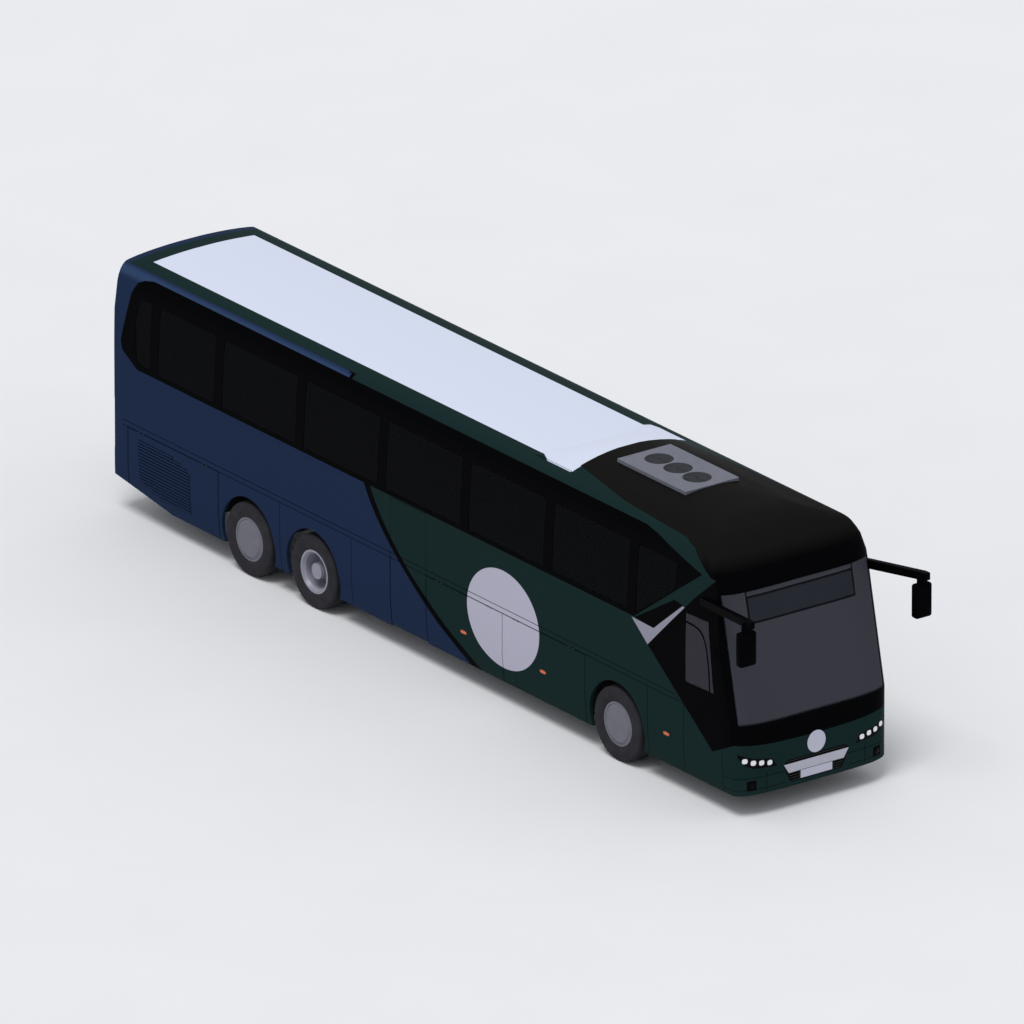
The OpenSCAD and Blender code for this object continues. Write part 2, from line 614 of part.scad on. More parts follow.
beam_z = [400, 520];
eye_z = [400, 600];
spring_x = rail_x + rail_w / 2;
front_spring_x = front_rail_x + rail_w / 2;
module front_axle() color("#2c2e31") place() difference() {
  union() {
    block([-kingpin_x, front_s - 60, beam_z[0]], [kingpin_x, front_s + 60, beam_z[1]]);
    mirrored() {
      bar_z(eye_z[0], eye_z[1], 50, kingpin_x, front_s);
      bar_z(beam_z[1] - 1, beam_z[1] + 20, 90, front_spring_x, front_s);
    }
  }
  mirrored() bar_z(eye_z[0] - 1, eye_z[1] + 1, kingpin_r + seat_fit, kingpin_x, front_s);
}
module drive_axle() color("#2c2e31") place() union() {
  bar_x(-880 + 1275 - half_w, 880 - 1275 + half_w, 90, drive_s, tyre_r);
  bar_x(-wheel_x - 50, wheel_x + 50, spindle_r, drive_s, tyre_r);
  bar_y(drive_s - 200, drive_s + 190, 190, 0, tyre_r);
  mirrored() bar_z(tyre_r, tyre_r + 120, 85, spring_x, drive_s);
}
module tag_axle() color("#2c2e31") place() union() {
  block([-kingpin_x - 40, tag_s - 55, tyre_r - 60], [kingpin_x + 40, tag_s + 55, tyre_r + 60]);
  bar_x(-wheel_x - 88, wheel_x + 88, stub_r, tag_s, tyre_r);
  mirrored() bar_z(tyre_r, tyre_r + 120, 85, spring_x, tag_s);
}
module air_springs() color("#202124") place() mirrored() {
  bar_z(beam_z[1] + 20 + seat_fit, rail_z - seat_fit, 85, front_spring_x, front_s);
  for (s = [drive_s, tag_s]) bar_z(tyre_r + 120 + seat_fit, rail_z - seat_fit, 85, spring_x, s);
}
steer_back = 180;                      // kingpin to the tie rod's eye
tie_z = 350;
tie_pin_r = 12;
module knuckle() place() union() {
  bar_z(eye_z[0] - 38, eye_z[1] + 38, kingpin_r, kingpin_x, front_s);
  for (z = [eye_z[0] - 38, eye_z[1] + 3])
    block([kingpin_x - 35, front_s - 35, z], [kingpin_x + 95, front_s + 35, z + 35]);
  block([kingpin_x + 60, front_s - 60, eye_z[0] - 38], [kingpin_x + 95, front_s + 60, eye_z[1] + 38]);
  bar_x(kingpin_x + 90, wheel_x + 88, stub_r, front_s, tyre_r);
  block([kingpin_x - 20, front_s, eye_z[0] - 38], [kingpin_x + 20, front_s + steer_back + 20,
    eye_z[0] - 14]);
  bar_z(tie_z - 16, eye_z[0] - 20, tie_pin_r, kingpin_x, front_s + steer_back);
}
module left_knuckle() color("#3a3c40") knuckle();
module right_knuckle() color("#3a3c40") mirror([1, 0, 0]) knuckle();
module tie_rod() color("#3a3c40") place() difference() {
  union() {
    bar_x(-kingpin_x, kingpin_x, 11, front_s + steer_back, tie_z);
    mirrored() bar_z(tie_z - 11, tie_z + 11, 24, kingpin_x, front_s + steer_back);
  }
  mirrored() bar_z(tie_z - 12, tie_z + 12, tie_pin_r + seat_fit, kingpin_x, front_s + steer_back);
}

// ---- wheels, drawn about the X axis with the outer face towards +X ----

half_t = tyre_w / 2;
module turned(x, s) place() translate([x, s, tyre_r]) rotate([0, 90,
  0]) rotate_extrude($fn = 72) children();
module tyre_outline() polygon([[rim_r + seat_fit, -half_t + 45], [rim_r + 40, -half_t + 18],
  [rim_r + 110, -half_t],
  [tyre_r - 60, -half_t + 2], [tyre_r - 14, -half_t + 18], [tyre_r, -half_t + 45], [tyre_r, half_t - 45],
  [tyre_r - 14, half_t - 18], [tyre_r - 60, half_t - 2], [rim_r + 110, half_t], [rim_r + 40, half_t - 18],
  [rim_r + seat_fit, half_t - 45]]);
module tyre(x, s) color("#25252a") turned(x, s) tyre_outline();
barrel = half_t - 38;                  // half width of the rim barrel
// Disc wheel whose plate stands near its outer face
module flat_wheel(x, s) color("#63626c") turned(x, s) polygon([[rim_r - 16, -barrel + 10],
  [rim_r, -barrel + 10],
  [rim_r, barrel + 4], [rim_r + 16, barrel + 6], [rim_r + 16, barrel + 16], [rim_r - 12, barrel + 16],
  [rim_r - 30, barrel - 8], [120, barrel - 8], [110, barrel + 6], [0, barrel + 6], [0, wheel_end],
  [stub_r + seat_fit, wheel_end], [stub_r + seat_fit, -15], [100, -15], [100, barrel - 26],
    [rim_r - 16, barrel - 26]]);
wheel_end = 92;
// Twin wheel: both barrels on one deep plate, with the hub standing out of the dish
module twin_wheel(x, s) color("#63626c") turned(x, s) polygon([[rim_r - 16, -twin_pitch - barrel],
  [rim_r, -twin_pitch - barrel],
  [rim_r, -twin_pitch + barrel], [rim_r - 12, -twin_pitch + barrel + 4], [rim_r - 12, -barrel - 4],
    [rim_r, -barrel],
  [rim_r, barrel + 4], [rim_r + 16, barrel + 6], [rim_r + 16, barrel + 16], [rim_r - 12, barrel + 16],
  [rim_r - 40, barrel - 30], [rim_r - 60, -130], [170, -150], [125, -120], [110, 50], [90, 70], [0, 72],
    [0, 55],
  [spindle_r + seat_fit, 55], [spindle_r + seat_fit, -195], [170, -195], [170, -175], [rim_r - 40, -175],
  [rim_r - 30, -twin_pitch + barrel], [rim_r - 16, -twin_pitch + barrel - 10]]);

module front_left_tyre() tyre(wheel_x, front_s);
module front_left_wheel() flat_wheel(wheel_x, front_s);
module front_right_tyre() mirror([1, 0, 0]) tyre(wheel_x, front_s);
module front_right_wheel() mirror([1, 0, 0]) flat_wheel(wheel_x, front_s);
module twin_tyres() { tyre(wheel_x, drive_s); tyre(wheel_x - twin_pitch, drive_s); }
module drive_left_tyres() twin_tyres();
module drive_left_wheel() twin_wheel(wheel_x, drive_s);
module drive_right_tyres() mirror([1, 0, 0]) twin_tyres();
module drive_right_wheel() mirror([1, 0, 0]) twin_wheel(wheel_x, drive_s);
module tag_left_tyre() tyre(wheel_x, tag_s);
module tag_left_wheel() flat_wheel(wheel_x, tag_s);
module tag_right_tyre() mirror([1, 0, 0]) tyre(wheel_x, tag_s);
module tag_right_wheel() mirror([1, 0, 0]) flat_wheel(wheel_x, tag_s);

// ---- cabin ----

driver_x = -620;
dash_s = [330, 800];
dash_top = 1370;
module dashboard() color("#26272a") place() intersection() {
  form(wall_t + 2);
  across(-far, 250) polygon([[dash_s[0], platform_z + seat_fit], [dash_s[1] - 120, platform_z + seat_fit],
    [dash_s[1], dash_top - 160], [dash_s[1] - 30, dash_top], [dash_s[0], dash_top]]);
}
wheel_tilt = 28;
module steering_wheel() color("#1c1c1e") place() translate([driver_x, dash_s[1] - 110,
  dash_top + seat_fit]) union() {
  cylinder(h = 70, r = 40, $fn = 32);
  translate([0, 60, 130]) rotate([-wheel_tilt, 0, 0]) {
    rotate_extrude($fn = 64) translate([225, 0]) circle(r = 15, $fn = 24);
    translate([-225, -18, -9]) cube([450, 36, 16]);
    translate([0, 0, -110]) cylinder(h = 115, r = 32, $fn = 32);
  }
}
cushion_h = 110;
seat_d = 450;
back_h = 640;
frame_h = 300;
module pads(w, z) {
  block([-w / 2, 0, z + seat_fit], [w / 2, seat_d, z + cushion_h]);
}
module back_pad(w, z) block([-w / 2, seat_d - 120, z + cushion_h + seat_fit],
  [w / 2, seat_d - seat_fit, z + cushion_h + back_h]);
driver_s = dash_s[1] + 230;
module driver_seat() color("#3c3f48") place() translate([driver_x, driver_s, 0]) union() {
  pads(500, platform_z + frame_h);
  translate([0, 0, -1]) block([-250, seat_d - 120, platform_z + frame_h + 40],
    [250, seat_d - seat_fit, platform_z + frame_h + 800]);
}
row_start = deck_s + 330;
rows = [for (s = row_start; s < body_l - wall_t - 780; s = s + seat_pitch) s];
seat_x0 = aisle_w / 2 + seat_w / 2 + 20;
right_rows = [for (s = rows) if (s + seat_d + 60 < mid_door_s - 40 || s > mid_door_s + mid_door_w + 20) s];
module each_pair() {
  for (s = rows) translate([seat_x0 + seat_w / 2 + 5, s, 0]) children();
  for (s = right_rows) translate([-seat_x0 - seat_w / 2 - 5, s, 0]) children();
}
module seat_frame() {
  for (x = [-seat_w + 20, seat_w - 60]) block([x, 80, deck_z + seat_fit],
    [x + 40, 380, deck_z + frame_h - 10]);
  block([-seat_w - 5, 0, deck_z + frame_h - 20], [seat_w + 5, seat_d + 25, deck_z + frame_h]);
  block([-seat_w + 20, seat_d, deck_z + frame_h - 5],
    [seat_w - 20, seat_d + 20, deck_z + frame_h + cushion_h + back_h - 60]);
}
module seat_frames() color("#3a3c40") place() {
  each_pair() seat_frame();
  translate([driver_x, driver_s, 0]) block([-150, 80, platform_z + seat_fit],
    [150, 370, platform_z + frame_h]);
}
module seat_cushions() color("#3c3f55") place() each_pair() for (x = [-seat_w / 2 - 5, seat_w / 2 + 5])
  translate([x, 0, 0]) pads(seat_w - 10, deck_z + frame_h);
module seat_backs() color("#3c3f55") place() each_pair() for (x = [-seat_w / 2 - 5, seat_w / 2 + 5])
  translate([x, 0, 0]) back_pad(seat_w - 10, deck_z + frame_h);

// ---- mirrors ----

arm_root = [half_w - 30, 800, 2850];
head_x = half_w + mirror_out - 135;
module mirrors() color("#0c0c0e") place() mirrored() difference() {
  union() {
    hull() {
      translate(arm_root) cube([60, 110, 110], center = true);
      translate([head_x, -mirror_reach + 45, 2985]) cube([80, 90, 100], center = true);
    }
    hull() for (x = [-95, 95], z = [-200, 200], s = [-28, 28])
      translate([head_x + x, -mirror_reach + 130 + s, 2620 + z]) sphere(r = 40, $fn = 16);
    hull() for (z = [2780, 2960], x = [-30, 30])
      translate([head_x + x, -mirror_reach + 130, z]) sphere(r = 45, $fn = 12);
  }
  form(-seat_fit);
}

chassis();
cabin_floor();
stairwells();
right_wall();
left_wall();
roof();
roof_fairing();
front_cap();
front_panel();
rear_panel();
windscreen();
right_windows();
left_windows();
rear_window();
headlights();
front_grille();
tail_lamps();
mirrors();
wheel_housings();
hinge_pins();
front_axle();
drive_axle();
tag_axle();
air_springs();
engine();
dashboard();
steering_wheel();
driver_seat();
seat_frames();
seat_cushions();
seat_backs();
roof_unit();
front_door();
front_door_glass();
front_door_arm();
mid_door();
mid_door_arm();
right_flap_front();
right_flap_rear();
right_service_flap();
left_flap_front();
left_flap_middle();
left_flap_rear();
left_service_flap();
engine_door();
right_knuckle();
left_knuckle();
tie_rod();
front_right_tyre();
front_right_wheel();
front_left_tyre();
front_left_wheel();
drive_right_tyres();
drive_right_wheel();
drive_left_tyres();
drive_left_wheel();
tag_right_tyre();
tag_right_wheel();
tag_left_tyre();
tag_left_wheel();
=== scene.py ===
import json
import math

import bmesh
import bpy
from mathutils import Matrix, Vector
from mathutils.bvhtree import BVHTree


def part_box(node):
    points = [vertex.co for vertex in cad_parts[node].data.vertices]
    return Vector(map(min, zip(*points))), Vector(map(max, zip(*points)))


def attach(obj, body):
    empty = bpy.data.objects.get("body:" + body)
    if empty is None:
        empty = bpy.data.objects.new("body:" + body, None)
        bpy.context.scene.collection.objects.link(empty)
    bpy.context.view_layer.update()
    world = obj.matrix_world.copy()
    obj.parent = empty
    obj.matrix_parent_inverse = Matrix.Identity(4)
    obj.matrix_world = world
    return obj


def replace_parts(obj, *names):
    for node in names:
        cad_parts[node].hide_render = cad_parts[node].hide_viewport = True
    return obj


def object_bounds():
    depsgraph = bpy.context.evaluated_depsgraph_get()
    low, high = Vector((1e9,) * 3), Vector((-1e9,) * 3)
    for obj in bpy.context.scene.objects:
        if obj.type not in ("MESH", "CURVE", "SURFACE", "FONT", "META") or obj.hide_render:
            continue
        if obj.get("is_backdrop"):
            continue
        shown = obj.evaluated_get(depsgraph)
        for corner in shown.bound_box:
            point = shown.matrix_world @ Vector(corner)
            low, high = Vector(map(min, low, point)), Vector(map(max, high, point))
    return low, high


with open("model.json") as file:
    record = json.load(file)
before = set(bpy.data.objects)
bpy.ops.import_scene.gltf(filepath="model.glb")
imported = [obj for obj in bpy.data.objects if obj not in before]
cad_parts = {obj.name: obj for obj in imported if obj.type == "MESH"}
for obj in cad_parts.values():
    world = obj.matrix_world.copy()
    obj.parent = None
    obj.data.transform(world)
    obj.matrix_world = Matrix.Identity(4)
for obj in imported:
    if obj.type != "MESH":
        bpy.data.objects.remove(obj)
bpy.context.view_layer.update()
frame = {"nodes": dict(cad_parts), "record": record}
nodes = frame["nodes"]

# Places are in metres: x from the middle, s behind the front face, z above the ground
S0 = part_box("front_panel")[0].y         # where the front face lies on the frame's y axis


def middle_s(node):
    """How far the middle of a CAD node lies behind the front face."""
    lo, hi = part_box(node)
    return (lo.y + hi.y) / 2 - S0


AXLES = {axle: middle_s(f"{axle}_right_wheel") for axle in ("front", "drive", "tag")}
FLAPS = {"right_flap_front": (3.37, 5.20), "right_flap_rear": (5.20, 6.895),
         "right_service_flap": (11.58, 13.62), "left_flap_front": (3.37, 5.20),
         "left_flap_middle": (5.20, 6.895), "left_flap_rear": (6.895, 8.575),
         "left_service_flap": (11.58, 13.62)}

# Tyres and wheels
wheel_box, tyre_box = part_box("front_right_wheel"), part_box("front_right_tyre")
TYRE_R = (wheel_box[0].z + wheel_box[1].z) / 2  # the wheel's middle is as high as its tyre's radius
TYRE_W = tyre_box[1].x - tyre_box[0].x
NUTS, NUT_CIRCLE_R = 10, 0.1675
COVER_SET_IN = 0.041                    # how far a wheel cover's rim lies inside the tyre's outer face

# Places of the livery
BELT_Z = (1.295, 1.37)                  # the two thin lines of the belt rail
BAND_Z = (2.18, 3.485)                  # black window band
STRIPE_FOOT = (5.81, 0.31)              # where the diagonal stripe leaves the skirt (s, z)
STRIPE_LEAN, STRIPE_BEND = 1.733, 0.399
STRIPE_MID_Z, STRIPE_TOP_Z = 1.06, 2.25
STRIPE_HALF_W = 0.07                    # at its narrowest
ROOF_CHANGE_S, ROOF_CHANGE_Z = 8.8, 3.2 # above the windows, blue begins at this s
ROOF_Z = 3.5                            # the roof's own colours lie above this
ROOF_GREEN = (1.06, 13.86)              # half width and rear end of the green roof
ROOF_PANEL_HALF_W, ROOF_PANEL_S = 0.84, (4.9, 13.63)
FAIRING_S = (4.1, 4.95)                 # white fairing between the cap and the roof panel
# Painted highlight: the blue shoulder is painted lighter between these heights, where it turns towards the
# sky
SHOULDER_Z = (3.42, 3.52)               # where the blue shoulder turns towards the sky
CAP_S = (1.39, 4.12)                    # the black cap behind its brow
# Painted shade: below this height the brow is painted darker, down to black
CREST_Z = 3.37                          # the brow is black below this
BROW_TOP = [(0.66, 3.19), (1.14, 3.478), (CAP_S[0], 3.53)]  # the brow's side edge (s, z)
SIDE_X = 1.15                           # further out than this is the side of the body
DISC_AT, DISC_R = (5.18, 1.21), (0.80, 0.695)
PANEL_LINES_S = (13.64, 11.57, 10.18, 8.57, 7.70, 6.89, 5.20, 3.37, 2.00, 1.21, 0.37)
TAIL_RED_X = 1.19                       # the tail lamps are red as far out as this


def srgb(*rgb):
    """A colour given in the usual 0 to 255 numbers, as the linear values that Blender takes."""
    parts = [c / 255 for c in rgb]
    return tuple(c / 12.92 if c <= 0.04045 else ((c + 0.055) / 1.055) ** 2.4 for c in parts)


# Colours of the livery
BLUE = srgb(31, 45, 71)
# Lighter blue, painted on the shoulder as a highlight where the body turns up to the light
BLUE_PAINTED_HIGHLIGHT = srgb(47, 65, 96)
GREEN = srgb(24, 42, 42)
ROOF_WHITE = srgb(212, 218, 234)
PALE = srgb(182, 180, 196)
SILVER = srgb(146, 144, 158)
BLACK = (0.0016, 0.0017, 0.0021)
CAP = srgb(22, 21, 20)
LINE = (0.001, 0.002, 0.003)
DUST = (0.10, 0.095, 0.085)


# ---- numbers and masks inside a material ----

class Num:
    """A number in the node tree that is being built."""
    tree = None

    def __init__(self, socket):
        self.socket = socket

    def __add__(self, o):
        return calc("ADD", self, o)

    def __radd__(self, o):
        return calc("ADD", self, o)

    def __sub__(self, o):
        return calc("SUBTRACT", self, o)

    def __rsub__(self, o):
        return calc("SUBTRACT", o, self)

    def __mul__(self, o):
        return calc("MULTIPLY", self, o)

    def __rmul__(self, o):
        return calc("MULTIPLY", self, o)


def calc(kind, *args, clamp=False):
    n = Num.tree.nodes.new("ShaderNodeMath")
    n.operation = kind
    n.use_clamp = clamp
    for i, a in enumerate(args):
        if isinstance(a, Num):
            Num.tree.links.new(a.socket, n.inputs[i])
        else:
            n.inputs[i].default_value = a
    return Num(n.outputs[0])


def low(*a):
    """The lowest of some numbers, which is the overlap when they are distances inside regions."""
    out = a[0]
    for b in a[1:]:
        out = calc("MINIMUM", out, b)
    return out


def high(*a):
    """The highest of some numbers, which joins regions."""
    out = a[0]
    for b in a[1:]:
        out = calc("MAXIMUM", out, b)
    return out


def inside(d, soft=0.004):
    """1 where the distance d is positive, 0 where it is negative, with a narrow soft edge."""
    return calc("MULTIPLY_ADD", d, 1 / soft, 0.5, clamp=True)


def half_plane(p, q, a, b):
    """Distance of the point (a, b) to the left of the line from p to q."""
    dx, dy = q[0] - p[0], q[1] - p[1]
    k = math.hypot(dx, dy)
    nx, ny = -dy / k, dx / k
    return calc("MULTIPLY_ADD", a, nx, calc("MULTIPLY_ADD", b, ny, -(nx * p[0] + ny * p[1])))


def convex(points, a, b):
    """Distance inside a convex outline, whichever way round it is drawn."""
    area = sum(p[0] * q[1] - q[0] * p[1] for p, q in zip(points, points[1:] + points[:1]))
    if area < 0:
        points = points[::-1]
    return low(*[half_plane(p, q, a, b) for p, q in zip(points, points[1:] + points[:1])])


def blend_to(fac, base, colour):
    """The colour base with another laid over it where fac is 1."""
    n = Num.tree.nodes.new("ShaderNodeMix")
    n.data_type = "RGBA"
    Num.tree.links.new(fac.socket, n.inputs[0])
    for i, c in ((6, base), (7, colour)):
        if isinstance(c, tuple):
            n.inputs[i].default_value = (*c, 1)
        else:
            Num.tree.links.new(c, n.inputs[i])
    return n.outputs[2]


def start(name):
    m = bpy.data.materials.new(name)
    m.use_nodes = True
    Num.tree = m.node_tree
    return m, m.node_tree.nodes["Principled BSDF"]


def object_coords():
    return Num.tree.nodes.new("ShaderNodeTexCoord").outputs["Object"]


def position():
    """The three coordinates of the point being painted."""
    sep = Num.tree.nodes.new("ShaderNodeSeparateXYZ")
    Num.tree.links.new(object_coords(), sep.inputs[0])
    return [Num(o) for o in sep.outputs]


def noise(scale, detail=3.0):
    n = Num.tree.nodes.new("ShaderNodeTexNoise")
    n.inputs["Scale"].default_value = scale
    n.inputs["Detail"].default_value = detail
    Num.tree.links.new(object_coords(), n.inputs["Vector"])
    return Num(n.outputs[0])


def ramp(value, slope, base):
    """slope * value + base, held between 0 and 1."""
    return calc("MULTIPLY_ADD", value, slope, base, clamp=True)


def away(value, centre):
    """Distance of a number from a centre value."""
    return calc("ABSOLUTE", value - centre)


def bump(shader, height, distance, strength=1.0):
    n = Num.tree.nodes.new("ShaderNodeBump")
    n.inputs["Distance"].default_value = distance
    n.inputs["Strength"].default_value = strength
    Num.tree.links.new(height.socket, n.inputs["Height"])
    Num.tree.links.new(n.outputs[0], shader.inputs["Normal"])


def finish_of(shader, rough, spec=0.5, metal=0.0, coat=0.0):
    shader.inputs["Roughness"].default_value = rough
    shader.inputs["Specular IOR Level"].default_value = spec
    shader.inputs["Metallic"].default_value = metal
    shader.inputs["Coat Weight"].default_value = coat
    shader.inputs["Coat Roughness"].default_value = 0.05


def plain(name, colour, rough, spec=0.5, metal=0.0, coat=0.0, vary=0.12, scale=9.0,
          grain=0.0, grain_scale=900.0):
    """A finish whose colour varies a little over the surface, with a fine grain if asked for."""
    m, sh = start(name)
    finish_of(sh, rough, spec, metal, coat)
    darker = tuple(c * (1 - vary) for c in colour)
    lighter = tuple(min(1, c * (1 + vary)) for c in colour)
    mixed = blend_to(ramp(noise(scale, 5.0), 2.2, -0.6), darker, lighter)
    Num.tree.links.new(mixed, sh.inputs["Base Color"])
    r = ramp(noise(scale * 2.7, 4.0), 0.2, rough - 0.1)
    Num.tree.links.new(r.socket, sh.inputs["Roughness"])
    if grain:
        bump(sh, noise(grain_scale, 2.0), grain)
    return m


# ---- the livery, painted by place on the coach; "ax" is the distance from the middle ----

def paint_base(s, z):
    """Blue at the back, green at the front, and a black diagonal stripe between them."""
    zz = low(z, STRIPE_TOP_Z)
    rise = zz - STRIPE_FOOT[1]
    centre = rise * STRIPE_LEAN + STRIPE_FOOT[0] - rise * (zz - STRIPE_MID_Z) * STRIPE_BEND
    centre = calc("MAXIMUM", centre, inside(z - ROOF_CHANGE_Z, 0.01) * ROOF_CHANGE_S)
    across = s - centre
    colour = blend_to(inside(across), GREEN, BLUE)
    half_w = high(calc("MULTIPLY_ADD", z, -0.0562, 0.1374), STRIPE_HALF_W)
    return blend_to(inside(half_w - calc("ABSOLUTE", across)), colour, BLACK), across


def paint_roof(colour, ax, s, z):
    """Green border, white panel, and the white fairing behind the cap, which widens towards the front."""
    top = inside(z - ROOF_Z, 0.01)
    half_w, end = ROOF_GREEN
    colour = blend_to(top * inside(low(half_w - ax, end - s)), colour, GREEN)
    panel = low(ROOF_PANEL_HALF_W - ax, s - ROOF_PANEL_S[0], ROOF_PANEL_S[1] - s)
    fairing_half_w = ROOF_PANEL_HALF_W + 0.1 * ramp(s, -4.0, 19.6)
    fairing = low(fairing_half_w - ax, s - FAIRING_S[0], FAIRING_S[1] - s)
    return blend_to(top * inside(high(panel, fairing)), colour, ROOF_WHITE)


def paint_band(colour, s, z):
    """The black window band, with its rounded rear end and its slanting front end."""
    foot, top = BAND_Z
    outline = [(0.0, foot), (13.42, foot), (13.76, 2.37), (13.80, 2.50), (13.62, 3.20), (13.50, 3.39),
               (13.38, 3.45), (13.2, top), (2.2, top), (1.57, 3.40), (1.17, 3.33), (0.86, 3.2), (0.0, 3.0)]
    front_end = half_plane((0.86, 3.22), (2.32, 2.165), s, z)
    return blend_to(inside(low(convex(outline, s, z), front_end)), colour, BLACK)


def paint_front(colour, ax, s, z):
    """The black cap and brow with its painted shade, the windscreen's surround and the area round the
    driver's window.
    """
    cap_half_w = low(calc("MULTIPLY_ADD", s, -0.158, 1.442), calc("MULTIPLY_ADD", s, -0.062, 1.165))
    cap = low(CAP_S[1] - s, s - CAP_S[0], cap_half_w - ax)
    over_screen, over_crest = (half_plane(p, q, s, z) for p, q in zip(BROW_TOP, BROW_TOP[1:]))
    brow = low(CAP_S[0] - s, high(over_screen, over_crest))
    colour = blend_to(inside(high(cap, brow)), colour, CAP)
    # Painted shade: the brow darkens to black over the windscreen, and less so further back
    brow_painted_shade_depth = CREST_Z - z - ramp(s, 0.9, -0.81)
    colour = blend_to(inside(brow) * inside(brow_painted_shade_depth, 0.18), colour, BLACK)

    # The surround's lower edge falls towards the sides; two slants and a rising edge close it behind
    foot = calc("MULTIPLY_ADD", ax * ax, 0.035, 0.975) - ramp(s, 0.5, -0.075)
    upper_slant = 2.00 - 1.026 * (z - 1.88) - s
    lower_slant = 1.22 - 1.145 * (z - 2.66) - s
    rising_edge = 0.57 + 1.345 * (z - 0.815) - s
    surround = low(upper_slant, lower_slant, rising_edge, z - foot)
    face = low(z - foot, 0.12 - s)
    return blend_to(inside(high(surround, face)), colour, BLACK)


def paint_arrow(colour, s, z):
    """The arrow of green, black and silver behind the driver's window."""
    green = convex([(2.32, 2.165), (0.86, 3.22), (0.59, 3.21), (1.22, 2.66)], s, z)
    black = convex([(2.29, 2.17), (1.44, 2.685), (1.25, 2.67), (1.87, 2.15)], s, z)
    silver = high(convex([(2.35, 2.16), (1.87, 2.15), (2.00, 1.88)], s, z),
                  convex([(1.87, 2.15), (1.26, 2.65), (1.21, 2.65), (2.00, 1.88)], s, z))
    for shape, paint in ((green, GREEN), (black, BLACK), (silver, SILVER)):
        colour = blend_to(inside(shape), colour, paint)
    return colour


def paint_disc(colour, ax, s, z):
    """A plain pale disc on each side."""
    e1 = (s - DISC_AT[0]) * (1 / DISC_R[0])
    e2 = (z - DISC_AT[1]) * (1 / DISC_R[1])
    disc = 1.0 - calc("SQRT", e1 * e1 + e2 * e2)
    return blend_to(inside(disc * 0.7) * inside(ax - 1.1), colour, PALE)


def paint_panel_lines(colour, ax, s, z):
    """Thin dark lines where the side panels, the belt rail and the bumper's panels meet."""
    side_half_w, front_half_w, soft = 0.005, 0.004, 0.003
    uprights = high(*[inside(side_half_w - away(s, at), soft) for at in PANEL_LINES_S])
    lines = uprights * inside(BELT_Z[0] - z)
    for belt_z, from_s in zip(BELT_Z, (1.22, 1.38)):
        lines = high(lines, inside(low(side_half_w - away(z, belt_z), s - from_s), soft))
    slant = calc("ABSOLUTE", half_plane((1.38, BELT_Z[1]), (1.31, BELT_Z[0]), s, z))
    slant = low(side_half_w - slant, z - BELT_Z[0], BELT_Z[1] - z, 1.5 - s)
    lines = high(lines, inside(slant, soft)) * inside(ax - SIDE_X)

    bumper = low(high(front_half_w - away(z, 0.55), front_half_w - away(z, 0.387)), ax - 0.52)
    upright = low(front_half_w - away(ax, 0.81), 0.62 - z)
    lines = high(lines, inside(high(bumper, upright), soft) * inside(0.36 - s))
    return blend_to(lines * inside(1.45 - z), colour, LINE)


def livery_material():
    """The whole livery, painted by place, with a painted highlight on the blue shoulder, painted shade on the
    brow, faint road dust low down and a slight unevenness.
    """
    m, sh = start("livery")
    x, y, z = position()
    s = y - S0
    ax = calc("ABSOLUTE", x)

    colour, across = paint_base(s, z)
    colour = paint_roof(colour, ax, s, z)
    # Painted highlight: the shoulder is painted a lighter blue where it turns towards the sky
    shoulder = inside(z - SHOULDER_Z[0], 0.06) * inside(SHOULDER_Z[1] - z, 0.04)
    colour = blend_to(inside(across) * shoulder, colour, BLUE_PAINTED_HIGHLIGHT)
    colour = paint_band(colour, s, z)
    colour = paint_front(colour, ax, s, z)
    colour = paint_arrow(colour, s, z)
    colour = paint_disc(colour, ax, s, z)
    colour = paint_panel_lines(colour, ax, s, z)
    dust = ramp(z, -1.6, 0.95) * ramp(noise(3.0, 6.0), 0.5, -0.1)
    colour = blend_to(dust * 0.30, colour, DUST)
    Num.tree.links.new(colour, sh.inputs["Base Color"])

    finish_of(sh, 0.32, 0.006)
    rough = calc("MULTIPLY_ADD", noise(1.7, 4.0), 0.12, 0.28) + dust * 0.5
    Num.tree.links.new(rough.socket, sh.inputs["Roughness"])
    bump(sh, noise(55.0, 2.0), 0.00025, 0.6)
    return m


def glass_material(name, colour, solid, print_on):
    """Tinted glass that hides the share "solid" of what is behind, with what "print_on" prints on it."""
    m, sh = start(name)
    x, y, z = position()
    finish_of(sh, 0.08, 0.008)
    base, alpha = print_on(x, y - S0, z, colour, solid)
    Num.tree.links.new(base, sh.inputs["Base Color"])
    Num.tree.links.new(alpha.socket, sh.inputs["Alpha"])
    return m


def screen_print(x, s, z, colour, solid):
    """Print on the windscreen: the frame of the destination window and a dark edge."""
    ax = calc("ABSOLUTE", x)
    half_w, foot, top, frame_w = 0.88, 2.60, 2.97, 0.03
    box = low(half_w - ax, z - foot, top - z)
    inner = low(half_w - frame_w - ax, z - foot - frame_w, top - frame_w - z)
    up = low(0.012 - away(ax, 0.87), z - 2.9)
    base = blend_to(inside(high(box, up)), colour, srgb(20, 21, 24))
    base = blend_to(inside(inner), base, srgb(44, 47, 54))
    edge = inside(high(ax - 1.195, 1.315 - z), 0.03)
    return blend_to(edge, base, srgb(14, 14, 16)), high(edge, solid)


def side_print(x, s, z, colour, solid):
    """The driver's window is paler and a little clearer than the others."""
    driver = inside(low(1.30 - s, 2.7 - z))
    return blend_to(driver, colour, srgb(60, 59, 66)), calc("MULTIPLY_ADD", driver, -0.1, solid)


def tail_lens_material():
    """The red of the tail lamps, painted over in the body's blue where a lamp turns on to the side."""
    m, sh = start("red_lens")
    finish_of(sh, 0.32, 0.006)
    x = position()[0]
    colour = blend_to(inside(calc("ABSOLUTE", x) - TAIL_RED_X), (0.20, 0.006, 0.006), BLUE)
    Num.tree.links.new(colour, sh.inputs["Base Color"])
    return m


